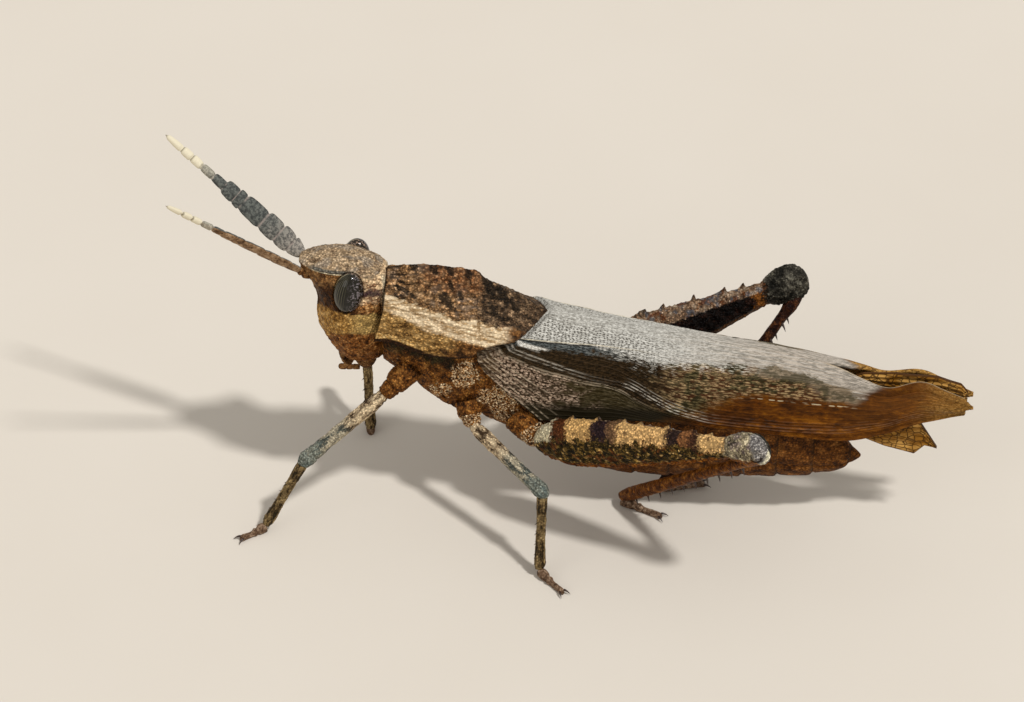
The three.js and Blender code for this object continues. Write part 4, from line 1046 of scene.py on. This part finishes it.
# ---- head --------------------------------------------------------------------------------
# Bare numbers in the builders are places, widths and heights in millimetres, and parts of the way
# along a piece.
def even_rings(grid, count):
    """Every ring again, with its points evenly spaced along it."""
    closed = np.concatenate([grid, grid[:, :1]], axis=1)
    lengths = np.linalg.norm(np.diff(closed, axis=1), axis=2)
    total = np.concatenate([np.zeros((len(grid), 1)), np.cumsum(lengths, axis=1)], axis=1)
    made = np.empty((len(grid), count, 3))
    for i, (ring, run) in enumerate(zip(closed, total)):
        stops = np.linspace(0, run[-1], count, endpoint=False)
        for axis in range(3):
            made[i, :, axis] = np.interp(stops, run, ring[:, axis])
    return made


def leaning(points, lean):
    """Points turned about the sideways axis, with their tops going back."""
    x, y, z = columns(points)
    c, s = math.cos(lean), math.sin(lean)
    return np.stack([x * c + z * s, y, -x * s + z * c], -1)


def eye_reach(points):
    """How far points are from an eye's middle: 1 is the eye's own surface."""
    return np.linalg.norm(leaning(points - EYE, -EYE_LEAN) / EYE_SIZE, axis=-1)


def build_head():
    rows, sides = GRIDS["head"]
    station = steps(HEAD[0][0], HEAD[-1][0], rows)
    angle = turns(FINE_RING)
    _, z, front, back, half, blunt = columns(at(HEAD, station + 0 * angle))
    c, s = np.cos(angle), np.sin(angle)
    narrow = np.where(c < 0, 1 - 0.35 * c * c, 1)
    x = (front + back) / 2 + c * (back - front) / 2
    y = swell(s, blunt) * half * narrow
    grid = even_rings(np.stack([x, y, z], -1), sides)
    x, y, z = columns(grid)
    station = np.broadcast_to(station, x.shape)
    side = np.abs(y)
    mirror = np.stack([x, side, z], -1)
    reach = eye_reach(mirror)
    faceward = smooth(-facing(grid, True)[..., 0], 0.35, 0.8)
    # Keels of the crown, the face and the cheek, seams of the mouth, the sockets of the eyes
    # and the feelers, and the granular cuticle.
    margin = bell(station, 7.9, 0.45) * smooth(x, -15.6, -17.0)
    height = 0.12 * margin
    height += 0.05 * bell(side, 0.0, 0.1) * smooth(station, 8.0, 8.6) * smooth(x, -14.5, -16.0)
    height -= 0.12 * bell(station, 9.6, 1.0) * smooth(x, -17.0, -18.4)
    costa = bell(side, 0.36, 0.12) - 0.6 * bell(side, 0.0, 0.16)
    height += 0.14 * costa * faceward * smooth(z, 14.2, 15.2) * smooth(z, 20.3, 19.6)
    cheek_keel = bell(side, 1.5 + (z - 16) * 0.1, 0.12) * smooth(x, -15.5, -16.5)
    height += 0.08 * cheek_keel * smooth(z, 13.4, 14.4) * smooth(z, 19.0, 18.0)
    height -= 0.12 * bell(z, 14.1 + 0.15 * side, 0.1) * faceward
    furrow = bell(x, -15.9 - (z - 18.2) * 0.25, 0.09)
    height -= 0.1 * furrow * smooth(z, 18.0, 17.2) * smooth(z, 13.2, 14.0)
    height += 0.09 * bell(reach, 1.13, 0.06)
    height -= 0.35 * smooth(reach, 1.06, 0.96)
    scape = np.linalg.norm((mirror - ANTENNA_ROOT) * [0.6, 1, 1], axis=-1)
    height += 0.1 * bell(scape, 0.52, 0.12) * smooth(x, -18.2, -18.8)
    height += 0.05 * lumps(grid * [0.5, 1, 1], 0.6, 1) * smooth(x, -15.6, -14.8)
    height += 0.03 * lumps(grid, 0.8, 1) + 0.02 * lumps(grid, 0.25, 2)
    cuticle = grains(grid, 0.34, 3, 0.05, above=0.55) + grains(grid, 0.2, 4, 0.035)
    height += cuticle * smooth(reach, 1.15, 1.3) - 0.02
    # The hind border stands up as a narrow rim.
    hind_rim = bell(at(HEAD, station)[..., 3] - x, 0.12, 0.12)
    hind_rim = hind_rim * smooth(station, 7.5, 6.5) * smooth(station, 0.2, 1.0)
    height += 0.05 * hind_rim
    skin = raised(grid, height)
    crown = smooth(station + 0.5 * smooth(x, -16.5, -14.0), 7.2, 8.6)
    shape = tube(skin, crown=crown, rim=np.clip(hind_rim * 1.3 - 0.2, 0, 1))
    piece("head_skin", shape, "head", ["head"])


def build_eyes():
    rows, sides = GRIDS["eye"]
    high = steps(-NEAR_POLE, NEAR_POLE, rows + 1)
    turn = turns(sides)
    lift = np.sin(high * math.pi / 2)
    flat = np.cos(high * math.pi / 2)
    ball = np.stack([-flat * np.cos(turn), flat * np.sin(turn), lift + 0 * turn], -1)
    for side, word in SIDES:
        grid = (leaning(ball * EYE_SIZE, EYE_LEAN) + EYE) * [1, side, 1]
        shape = tube(grid, turn=turn / math.pi, high=high)
        piece("eyeball_" + word, shape, "eye", ["eye_" + word])


def build_mouth():
    grid, part, _ = limb(*LIP_ENDS, LIP, [0, 1, 0], *GRIDS["lip"])
    notch = 0.2 * bell(grid[..., 1], 0, 0.25) * smooth(part, 0.6, 1.0)
    height = -notch - 0.08 * bell(part, 0.3, 0.05) + 0.02 * lumps(grid, 0.3, 4)
    piece("lip", tube(raised(grid, height)), "mouth", ["labrum"])
    for side, word in SIDES:
        mirror = [1, side, 1]
        grid = limb(*np.multiply(JAW_ENDS, mirror), JAW, [0, 1, 0], *GRIDS["jaw"])[0]
        grid = raised(grid, 0.03 * lumps(grid, 0.35, 5))
        piece("jaw_" + word, tube(grid), "mouth", ["mandible_" + word])
        ends = np.multiply(PALP_ENDS, mirror)
        grid, part, _ = limb(*ends, PALP, [0, 0, 1], *GRIDS["palp"])
        joints = bell(part, 0.33, 0.03) + bell(part, 0.62, 0.03)
        grid = raised(grid, -0.05 * joints + 0.01 * lumps(grid, 0.2, 6))
        piece("feeler_" + word, tube(grid), "mouth", ["palp_" + word])


def build_antennae():
    rows = ANTENNA_SEGMENTS * ROWS_PER_SEGMENT
    table = [[k, w] for k, w in enumerate(ANTENNA_WIDTHS)]
    for side, word in SIDES:
        mirror = np.array([1, side, 1])
        root = ANTENNA_ROOT * mirror
        reach = ANTENNA_TIP[word] * mirror - root
        along = unit(reach)
        across = unit(np.cross(along, ANTENNA_FACE * mirror))
        flat = np.cross(across, along)
        inward = flat * np.sign(np.dot(flat, ANTENNA_FACE * mirror))
        start = root + along * (SCAPE_LENGTH + BLADE_GAP)
        blade = np.linalg.norm(reach) - SCAPE_LENGTH - BLADE_GAP
        segment = steps(0, ANTENNA_SEGMENTS, rows + 1)
        way = np.interp(segment, np.arange(ANTENNA_SEGMENTS + 1), ANTENNA_JOINTS)
        angle = turns(BLADE_SIDES)
        within = segment % 1.0
        deep = 0.13 + 0.17 * smooth(segment, 6.6, 7.4)
        pinch = deep * (bell(within, 1.0, 0.1) + bell(within, 0.0, 0.07))
        lobes = 0.06 * np.sin(within * math.pi) ** 0.7 + 0.06 * within - pinch
        width = at(table, way * ANTENNA_SEGMENTS)[..., 1] / 2 * (0.96 + lobes)
        width = width * (1 - 0.3 * smooth(way, 0.568, 0.582) * smooth(way, 0.85, 0.7))
        width = width * smooth(segment, -0.3, 0.25) * (1 - smooth(segment, 10.8, 11.02) * 0.85)
        thick = np.minimum(0.25, width * 0.75) * (1 - 0.5 * np.minimum(pinch / 0.13, 1))
        c = np.cos(angle)
        x = c * width * (1 + 0.1 * c * within)
        z = np.sin(angle) * thick * (1 - 0.25 * c**2)
        middle = start + along * (way * blade)[..., None]
        grid = middle + across * x[..., None] + flat * z[..., None]
        grid = raised(grid, 0.012 * lumps(grid, 0.25, 7))
        inner = np.sum(facing(grid, True) * inward, axis=-1)
        shape = tube(grid, segment=segment, across=c, inner=inner)
        piece("blade_" + word, shape, "antenna", ["antenna_" + word])
        tip = root + along * (SCAPE_LENGTH + 0.15)
        grid = limb(root - along * 0.5, tip, SCAPE, [0, 0, 1], *GRIDS["scape"])[0]
        piece("stalk_" + word, tube(grid), "mouth", ["scape_" + word])


# ---- pronotum and wings ------------------------------------------------------------------
def roof(part, ridge_y, ridge_z, shoulder_y, shoulder_z, edge_y, edge_z):
    """y and z of a roof-shaped section: part 0 is the ridge, 0.5 the shoulder, 1 the edge."""
    out = np.clip(part / 0.5, 0, 1)
    down = np.clip(part / 0.5 - 1, 0, 1)
    upper_y = ridge_y + (shoulder_y - ridge_y) * np.sin(out * math.pi / 2)
    upper_z = ridge_z + (shoulder_z - ridge_z) * out
    lower_y = shoulder_y + (edge_y - shoulder_y) * np.sin(down * math.pi / 2)
    lower_z = shoulder_z + (edge_z - shoulder_z) * down
    return np.where(part > 0.5, lower_y, upper_y), np.where(part > 0.5, lower_z, upper_z)


def build_pronotum():
    rows, across = GRIDS["pronotum"]
    s = steps(0, 1, rows)
    q = steps(-1, 1, across).T
    part = np.abs(q) + 0 * s
    _, front, back = columns(at(PRONOTUM_ENDS, part))
    x = front + s * (back - front)
    _, crest, keel, shoulder_y, shoulder_z, lobe_y, lobe_z = columns(at(PRONOTUM, x))
    y, z = roof(part, 0, crest - keel, shoulder_y, shoulder_z, lobe_y, lobe_z)
    ridge = bell(part, 0, 0.1)
    bumps = 0.06 * lumps(on_line(x), 0.55, 8)
    grid = np.stack([x, np.sign(q) * y, z + ridge * keel * (0.95 + bumps)], -1)
    core = on_line(x) + [0, 0, 15]
    inner = grid - facing(grid, False, core) * 0.4
    spots = grid * [0.7, 1, 1]
    height = grains(spots, 0.36, 9, 0.08, above=0.6) + grains(spots, 0.19, 10, 0.05) - 0.03
    height += 0.04 * lumps(grid * [0.35, 1, 1], 0.45, 11)
    height += 0.03 * lumps(grid * [0.3, 1, 1], 0.2, 12)
    sway = 0.25 * lumps(on_line(part * 5), 1.0, 13)
    for place, deep, low in FURROWS:
        reach = smooth(part, low, low + 0.1) * smooth(part, 0.8, 0.6)
        height -= deep * bell(x + sway, place, 0.12) * reach
    height += 0.07 * bell(part, 0.47, 0.02) * smooth(x, -1.5, -3.0)
    rim = bell((1 - s) * (back - front), 0.1, 0.1)
    height += 0.04 * rim + 0.04 * bell(s * 12, 0.1, 0.15)
    height += 0.05 * bell(part, 0.975, 0.02)
    _, over, under = columns(at(STRIPE, x))
    blotch = 0 * x
    for place, down, size in BLOTCHES:
        away = np.hypot(x - place - (part - down) * 5.0, (part - down) * 7.0)
        blotch = np.maximum(blotch, np.clip(1 - away / (size * 1.35), 0, 1))
    outer = raised(grid, height, False, core)
    fields = {"part": part, "over": part - over, "under": part - under}
    shape = plate(outer, inner, blotch=blotch, rim=rim, **fields)
    piece("pronotum_shell", shape, "pronotum", ["pronotum"])


def build_tegmen(side, word):
    rows, across = GRIDS["forewing"]
    s = steps(0, 1, rows)
    part = steps(0, 1, across).T + 0 * s
    _, start, end = columns(at(TEGMEN_ENDS, part))
    # The wing's root goes on under the pronotum, sunk below it.
    tucked = WING_ROOT * smooth(part, 0.68, 0.6)
    ragged = 0.06 * lumps(on_line(part * 30), 1.0, 20 + side) + 0.1
    ragged += 0.3 * bell(part, 0.8, 0.1) + 0.25 * bell(part, 0.5, 0.06)
    front = start - tucked
    x = front + s * (end - ragged - front)
    _, *section = columns(at(TEGMEN, x))
    y, z = roof(part, *section)
    grid = np.stack([x, side * y, z], -1)
    core = np.stack([x, -side * 0.4 + 0 * x, section[-1] + 1.5], -1)
    _, edge, bright_at, radial = columns(at(VEINS, x))
    # Veins are where the number "line" is half-way between whole numbers.
    upper = part / radial * 17
    lower = (part - radial) / (1.02 - radial) * 9
    line = np.where(part < radial, upper, 17 + lower)
    width = 10.5 * (1 - 0.4 * smooth(x, 12, 32))

    def ridge(way, half):
        """A narrow ridge along a line on the wing."""
        return bell((part - way) * width, 0, half)

    bundle = ridge(radial, 0.06) + 0.8 * ridge(radial + 0.018, 0.045)
    bright = ridge(bright_at, 0.055) + 0.9 * ridge(bright_at + 0.026, 0.045)
    behind = smooth(x, 5.0, 6.5)
    further = 0.8 * ridge(bright_at - 0.028, 0.045) + 0.6 * ridge(bright_at - 0.058, 0.035)
    bright += behind * further
    fan = 0 * x
    far = np.clip(x + 5.7, 0, 6)
    for from_root, slope in FAN:
        way = from_root + slope * far + 0.0015 * far**2
        fan = np.maximum(fan, ridge(way, 0.05) * smooth(x, 1.0, -1.5))
    fan = fan * smooth(part - radial, 0.0, 0.03)
    main = ridge(edge, 0.1) * smooth(x, 16, 12)
    ribs = np.abs(line % 1.0 - 0.5) * 2
    height = 0.07 * np.clip(bright + bundle, 0, 1) + 0.05 * fan + 0.06 * main
    height += 0.03 * smooth(ribs, 0.4, 0)
    height += 0.025 * lumps(grid * [0.3, 1, 1], 0.35, 22) + 0.04 * lumps(grid, 1.6, 23)
    height += 0.1 * lumps(grid * [0.6, 1, 1], 1.3, 24) * smooth(x, 20, 27)
    height += 0.06 * bell(part, 0.99, 0.012)
    under = (start + 0.05 - x) / WING_ROOT
    height -= WING_SUNK * smooth(under, -0.35, 0.1) * smooth(part, 0.68, 0.6)
    outer = raised(grid, height, False, core)
    inner = outer - facing(grid, False, core) * WING_THICK
    # rim: where a pale line is painted along the near wing's upper edge as a highlight.
    rim = bell(part, 0.0, 0.025) * smooth(x, 20.0, 21.0) if side < 0 else 0 * x
    gold = smooth(x + 3 * part, 22.3, 23.3) if side > 0 else 0 * x
    fields = {"part": part, "line": line, "radial": radial, "bundle": np.clip(bundle, 0, 1)}
    fields.update({"bright_at": bright_at, "bright": np.clip(bright, 0, 1), "fan": fan})
    fields.update({"edge": edge, "border": edge + 0.12 * bell(x, 7.5, 2.8)})
    shape = plate(outer, inner, rim=rim, gold=gold, **fields)
    piece("forewing_" + word, shape, "tegmen", ["tegmen_" + word])


def build_hindwing(word):
    y, upper, lower = HINDWINGS[word]
    upper, lower = np.array(upper), np.array(lower)
    rows, across = GRIDS["hindwing"]
    s = steps(0, 1, rows)
    v = steps(0, 1, across).T + 0 * s
    length = upper[-1, 0] - upper[0, 0]
    x = upper[0, 0] + s * length
    top = np.interp(x, upper[:, 0], upper[:, 1])
    low = np.interp(x, lower[:, 0], lower[:, 1])
    z = low + (top - low) * v
    ray = v * 4 + 0.25 * lumps(np.stack([x * 0.6 + 0 * v, v, 0 * v], -1), 1.0, 30)
    pleat = 0.05 * np.cos(ray * 2 * math.pi) * smooth(s, 0, 0.2)
    grid = np.stack([x + 0 * v, y + pleat, z], -1)
    half = np.array([0, 0.11, 0])
    rim = np.minimum(np.minimum(v, 1 - v) * (top - low), (1 - s) * length)
    shape = plate(grid + half, grid - half, ray=ray, rim=rim)
    piece("hindwing_fold_" + word, shape, "hindwing", ["hindwing_" + word])


# ---- trunk -------------------------------------------------------------------------------
def trunk_grid(table, rows, sides):
    """Rings of the trunk, and the angles round them."""
    x = steps(table[0][0], table[-1][0], rows + 1)
    angle = turns(sides)
    _, top, bottom, half = columns(at(table, x + 0 * angle))
    y = swell(np.cos(angle), 0.9) * half
    z = (top + bottom) / 2 + swell(np.sin(angle), 0.9) * ((top - bottom) / 2)
    return np.stack([x + 0 * angle, y, z], -1), angle + 0 * x


def build_thorax():
    grid, _ = trunk_grid(THORAX, *GRIDS["thorax"])
    x, y, z = columns(grid)
    # Seams of the side plates run down and forward; granules crowd above the legs.
    height = 0 * x - 0.04
    slope = x + (z - 10) * 0.32
    for place in SEAMS:
        height -= 0.14 * bell(slope, place, 0.13)
        height += 0.1 * bell(slope, place + 0.35, 0.18)
    granule = grains(grid, 0.34, 40)
    lie, rise = slanted(x, np.abs(y), z)
    crowd = 0 * x
    for middle_lie, middle_rise, long, tall in TUBERCLES:
        crowd = np.maximum(crowd, bell(lie, middle_lie, long) * bell(rise, middle_rise, tall))
    crowd = np.clip(crowd * 2.2, 0, 1)
    height += granule * (0.06 + 0.16 * crowd) + grains(grid, 0.2, 41, 0.04) + 0.08 * crowd
    height += 0.06 * lumps(grid, 0.7, 42)
    shape = tube(raised(grid, height), granule=granule, crowd=crowd)
    piece("thorax_skin", shape, "pleura", ["thorax"])


def build_abdomen():
    grid, angle = trunk_grid(ABDOMEN, *GRIDS["abdomen"])
    x = grid[..., 0]
    ring = (x - 0.15 * np.sin(angle) - ABDOMEN[0][0]) / ABDOMEN_RING
    within = ring % 1.0
    height = 0.14 * within - 0.2 * bell(within, 1.0, 0.06) - 0.1 * bell(within, 0, 0.05)
    height -= 0.1 * bell(np.sin(angle), -0.45, 0.06)
    height += 0.04 * lumps(grid, 0.6, 50) + 0.02 * lumps(grid, 0.2, 51)
    height = height * smooth(x, 23.4, 21.5)
    nodes = ["abdomen_front", "abdomen_middle", "abdomen_tip"]
    shape = tube(raised(grid, height), ring=within)
    piece("abdomen_skin", shape, "abdomen", nodes)


# ---- legs --------------------------------------------------------------------------------
def toward(a, b, part, extra=0.0):
    """A point part of the way from a to b, and then so much further."""
    a = np.asarray(a, float)
    b = np.asarray(b, float)
    return a + (b - a) * part + unit(b - a) * extra


def build_coxa(name, hip):
    kind = name.split("_")[0]
    x, y, z = COXA_TOP[kind]
    top = np.array([x, math.copysign(y, hip[1]), z])
    table = HIND_COXA if kind == "hind" else COXA
    grid, part, _ = limb(top, hip, table, [1, 0, 0], *GRIDS["coxa"])
    granule = grains(grid, 0.3, 60)
    height = 0.1 * granule + grains(grid, 0.19, 67, 0.04) + 0.06 * lumps(grid, 0.5, 61) - 0.05
    height -= 0.12 * bell(part, 0.72, 0.035)
    crowd = COXA_GRANULES[kind] * smooth(part, 0.5, 0.65)
    shape = tube(raised(grid, height), granule=granule * 0.8, crowd=crowd)
    piece("hip_" + name, shape, "pleura", ["coxa_" + name])


def build_walking_leg(name):
    hip, knee, ankle, toe = LEGS[name]
    build_coxa(name, hip)
    grid, part, angle = limb(hip, knee, FEMUR, [0, 0, 1], *GRIDS["femur"])
    keels = 0
    for turn in THIGH_KEELS:
        keels = keels + bell((angle - turn + math.pi) % (2 * math.pi), math.pi, 0.16)
    height = 0.06 * keels * smooth(part, 0.05, 0.15) * smooth(part, 0.97, 0.85)
    height += grains(grid, 0.28, 62, 0.05) + 0.04 * lumps(grid, 0.45, 63)
    height -= 0.07 * bell(part, 0.06, 0.012)
    height -= 0.09 * bell(part, 0.9, 0.01) - 0.04 * bell(part, 0.97, 0.02)
    height = height * smooth(part, 1.07, 1.04)
    length = np.linalg.norm(np.subtract(knee, hip))
    fields = {"part": part, "run": part * length, "c": np.cos(angle), "s": np.sin(angle)}
    shape = tube(raised(grid, height), **fields)
    piece("thigh_" + name, shape, "leg", ["femur_" + name])
    along, across, up = axes(knee, ankle, [1, 0, 0])
    end = toward(ankle, knee, 0, 0.05)
    grid, part, angle = limb(knee, end, TIBIA, [1, 0, 0], *GRIDS["tibia"])
    length = np.linalg.norm(np.subtract(ankle, knee))
    fields = {"part": 0.2 + 0 * part, "run": part * length, "c": np.cos(angle), "s": np.sin(angle)}
    height = grains(grid, 0.25, 64, 0.05) + 0.03 * lumps(grid, 0.35, 65)
    shapes = [tube(raised(grid, height), **fields)]
    for i in range(SHIN_SPINES):
        for turn in (-1, 1):
            root = toward(knee, ankle, 0.35 + 0.13 * i)
            out = unit(up * -0.8 + across * turn * 0.6 + along * 0.7)
            shapes.append(with_fields(spike(root, root + out * 0.72, 0.09), fields))
    piece("shin_" + name, joined(shapes), "shin", ["tibia_" + name])
    build_foot(name, ankle, toe)


def with_fields(shape, names):
    """A shape with the named fields, all of them 0.2."""
    points, faces, _ = shape
    return points, faces, {name: np.full(len(points), 0.2) for name in names}


def build_foot(name, ankle, toe):
    """Three-jointed foot, flat on the floor, with pads and two claws."""
    half = FOOT_HALF[name.split("_")[0]]
    a = np.array(ankle, float)
    b = np.array(toe, float)
    along = unit((b - a) * [1, 1, 0])
    across = np.array([-along[1], along[0], 0])
    rows, sides = GRIDS["foot"]
    part = steps(FOOT[0][0], FOOT[-1][0], rows)
    angle = turns(sides)
    _, width, height = columns(at(FOOT, part + 0 * angle))
    wide = swell(np.cos(angle), 0.8) * half * width
    z = height / 2 * (1 + swell(np.sin(angle), 0.8))
    middle = a + (b - a) * part[..., None]
    grid = middle * [1, 1, 0] + across * wide[..., None] + np.array([0, 0, 1]) * z[..., None]
    top = smooth(z, 0.08, 0.2)
    grid = raised(grid, (0.03 * lumps(grid, 0.25, 66) - 0.02) * top)
    grid[..., 2] = np.maximum(grid[..., 2], 0)
    piece("foot_skin_" + name, tube(grid), "foot", ["tarsus_" + name])
    claws = []
    for turn in (-1, 1):
        root = b * [1, 1, 0] + along * -0.12 + across * turn * half * 0.5 + [0, 0, 0.28]
        tip = root + along * 0.55 + across * turn * 0.26 - [0, 0, 0.2]
        claws.append(spike(root, tip, 0.11, bend=[0, 0, 0.09], sides=10, rows=12))
    piece("claws_" + name, joined(claws), "claw", [])


def build_hind_leg(name):
    hip, knee, ankle, toe = (np.array(p, float) for p in LEGS[name])
    side = np.sign(hip[1])
    build_coxa(name, hip)
    along = unit(knee - hip)
    length = np.linalg.norm(knee - hip)
    up = unit(np.cross(np.array(HIND_OUTWARD) * [1, side, 1], along))
    up = up * np.sign(up[2])
    outward = np.cross(up, along)
    outward = outward * np.sign(outward[1] * side)
    rows, sides = GRIDS["hind_thigh"]
    part = steps(HIND_FEMUR[0][0], HIND_FEMUR[-1][0], rows)
    angle = turns(sides)
    _, above, below, half = columns(at(HIND_FEMUR, part + 0 * angle))
    c, s = np.cos(angle), np.sin(angle)
    out = swell(c, 1.1) * half
    high = swell(s, 1.1)
    tall = high * np.where(s > 0, above, below)
    middle = hip + along * (part * length)[..., None]
    grid = middle + outward * out[..., None] + up * tall[..., None]
    # Keels above and below, teeth on the upper one, chevron ridges and bumps on the sides.
    body = smooth(part, 0.06, 0.13) * smooth(part, 0.88, 0.82)
    tooth = (part * TEETH + 0.15 * np.sin(part * 40)) % 1.0
    keel = bell(s, 1.0, 0.015) * (c * c < 0.2)
    # Seen from above and outside, the near leg shows the teeth of its inner upper keel.
    row = bell(angle, math.radians(90 if side > 0 else 124), 0.12)
    tooth = smooth(tooth, 0.55, 0.96) * smooth(tooth, 1.0, 0.96) * body * row
    height = (0.42 if side > 0 else 0.28) * tooth + 0.05 * body * keel
    height += body * bell(s, -1.0, 0.012) * 0.12
    off_axis = np.abs(high)
    chevron = np.sin((part * 21 - off_axis * 1.3) * 2 * math.pi) * smooth(off_axis, 0.7, 0.5)
    height += 0.06 * chevron * body
    rib = bell(off_axis, 0.62, 0.05) * (c > 0)
    height += 0.1 * rib * body
    lumpy = grains(grid, 0.36, 70, 0.12, above=0.5) + grains(grid, 0.2, 74, 0.05)
    lumpy += 0.05 * lumps(grid, 0.4, 71) - 0.05
    height += lumpy * smooth(part, -0.01, 0.03)
    # The knee: a groove in front of it and a crescent lobe round the joint on both sides.
    height -= 0.12 * bell(part, 0.885, 0.012)
    joint = hip + along * (length + 0.45) - up * 0.1
    local = grid - joint
    sideways = outward * np.sum(local * outward, -1, keepdims=True)
    spread = np.linalg.norm(local - sideways, axis=-1)
    behind = np.sum(local * along, axis=-1)
    lobe = bell(spread, 0.85, 0.16) * smooth(behind, -0.3, 0.2)
    height += 0.08 * lobe - 0.1 * bell(spread, 0.45, 0.15) * (behind > -0.5)
    height = height * smooth(part, 1.063, 1.05)
    slit = bell(spread, 0.5, 0.13) * smooth(behind, -0.7, -0.3)
    fields = {"part": part, "high": high, "outer": c, "lobe": lobe, "slit": slit, "tooth": tooth}
    shape = tube(raised(grid, height), left=float(side < 0), right=float(side > 0), **fields)
    piece("hind_thigh_" + name, shape, "hind_femur", ["femur_" + name])
    build_hind_shin(name, knee + along * 0.6 - up * 0.8, ankle, up, along)
    build_foot(name, ankle, toe)


def build_hind_shin(name, joint, ankle, up, femur_along):
    top, end = toward(joint, ankle, 0, 0.3), toward(ankle, joint, 0, 0.1)
    grid = limb(top, end, HIND_TIBIA, up, *GRIDS["hind_tibia"])[0]
    height = grains(grid, 0.25, 72, 0.03) + 0.03 * lumps(grid, 0.5, 73)
    # left is 1 on the near, left shin, which keeps the lighter tones; the right shin gets its dark
    # inner face and painted shade.
    bone = tube(raised(grid, height), left=float(joint[1] < 0))
    piece("hind_shin_" + name, bone, "hind_tibia", ["tibia_" + name])
    along = unit(ankle - joint)
    away = unit(femur_along - along * np.dot(femur_along, along))
    beside = np.cross(along, away)
    spines = []
    for i in range(SPINES):
        for turn in (-1, 1):
            place = 0.13 + 0.83 * (i + (0.4 if turn > 0 else 0.0)) / SPINES
            root = toward(joint, ankle, place)
            lean = unit(away + beside * turn * 0.75 + along * 0.55)
            spines.append(spike(root, root + lean * SPINE_LENGTH, 0.17, bend=along * -0.06))
    for turn in (-1, 1):
        root = toward(joint, ankle, 0.97)
        lean = unit(away * 0.5 + beside * turn * 0.8 + along * 0.8)
        spines.append(spike(root, root + lean * 0.9, 0.13))
    piece("spines_" + name, joined(spines), "claw", [])


# ---- floor, light and camera -------------------------------------------------------------
def build_stage():
    floor = Finish("floor", 0.9, specular=0.1)
    tone = floor.blend(floor.noise(30.0), "#d3cabd", "#d9d1c5")
    mesh = bpy.data.meshes.new("floor")
    ends = ((-1, -1), (1, -1), (1, 1), (-1, 1))
    corners = [(x * FLOOR_REACH, y * FLOOR_REACH, 0) for x, y in ends]
    mesh.from_pydata(corners, [], [(0, 1, 2, 3)])
    mesh.materials.append(floor.done(tone, floor.noise(2.0), 0.0))
    ground = bpy.data.objects.new("floor", mesh)
    bpy.context.scene.collection.objects.link(ground)

    world = bpy.data.worlds.new("world")
    world.use_nodes = True
    bpy.context.scene.world = world
    sky = Nodes(world.node_tree)
    sky.tree.nodes.clear()
    light = sky.node("ShaderNodeBackground", {"Color": SKY_COLOUR, "Strength": SKY})
    backdrop = {"Color": colour_of(BACKDROP), "Strength": 1.0}
    backdrop = sky.node("ShaderNodeBackground", backdrop)
    seen = sky.node("ShaderNodeLightPath", {}, out="Is Camera Ray")
    for kind in ("Is Glossy Ray", "Is Transmission Ray"):
        ray = sky.node("ShaderNodeLightPath", {}, out=kind)
        seen = sky.math("MAXIMUM", seen, ray)
    mix = sky.node("ShaderNodeMixShader", {0: seen, 1: light, 2: backdrop})
    output = sky.tree.nodes.new("ShaderNodeOutputWorld")
    sky.tree.links.new(mix, output.inputs[0])

    for name, strength, spread, direction in LAMPS:
        lamp = bpy.data.lights.new(name, "SUN")
        lamp.energy = strength
        lamp.angle = math.radians(spread)
        holder = bpy.data.objects.new(name, lamp)
        holder.rotation_euler = Vector(direction).to_track_quat("Z", "Y").to_euler()
        bpy.context.scene.collection.objects.link(holder)


def build_camera():
    camera = bpy.data.cameras.new("camera")
    camera.lens = LENS
    camera.sensor_width = SENSOR
    camera.clip_start, camera.clip_end = CLIP
    holder = bpy.data.objects.new("camera", camera)
    flat = math.cos(ELEVATION)
    back = Vector((math.sin(AZIMUTH) * flat, -math.cos(AZIMUTH) * flat, math.sin(ELEVATION)))
    holder.location = Vector(LOOK_AT) + back * (LENS / SENSOR * FRAME_WIDTH)
    holder.rotation_euler = back.to_track_quat("Z", "Y").to_euler()
    bpy.context.scene.collection.objects.link(holder)
    bpy.context.scene.camera = holder


FINISH = {
    "head": head_finish(),
    "eye": eye_finish(),
    "mouth": mouth_finish(),
    "antenna": antenna_finish(),
    "pronotum": pronotum_finish(),
    "pleura": pleura_finish(),
    "abdomen": abdomen_finish(),
    "tegmen": tegmen_finish(),
    "hindwing": hindwing_finish(),
    "leg": leg_finish("walking_leg", "#958064", "#cdb794", "#382a1c", "#727c75"),
    "shin": leg_finish("walking_shin", "#57452b", "#86714c", "#282012", "#4a3b22"),
    "foot": foot_finish(),
    "claw": claw_finish(),
    "hind_femur": hind_femur_finish(),
    "hind_tibia": hind_tibia_finish(),
}

build_stage()
build_camera()
build_head()
build_eyes()
build_mouth()
build_antennae()
build_pronotum()
build_thorax()
build_abdomen()
for wing_side, wing_word in SIDES:
    build_tegmen(wing_side, wing_word)
    build_hindwing(wing_word)
for leg_name in LEGS:
    if leg_name.startswith("hind"):
        build_hind_leg(leg_name)
    else:
        build_walking_leg(leg_name)

bpy.context.scene.view_settings.view_transform = "Standard"
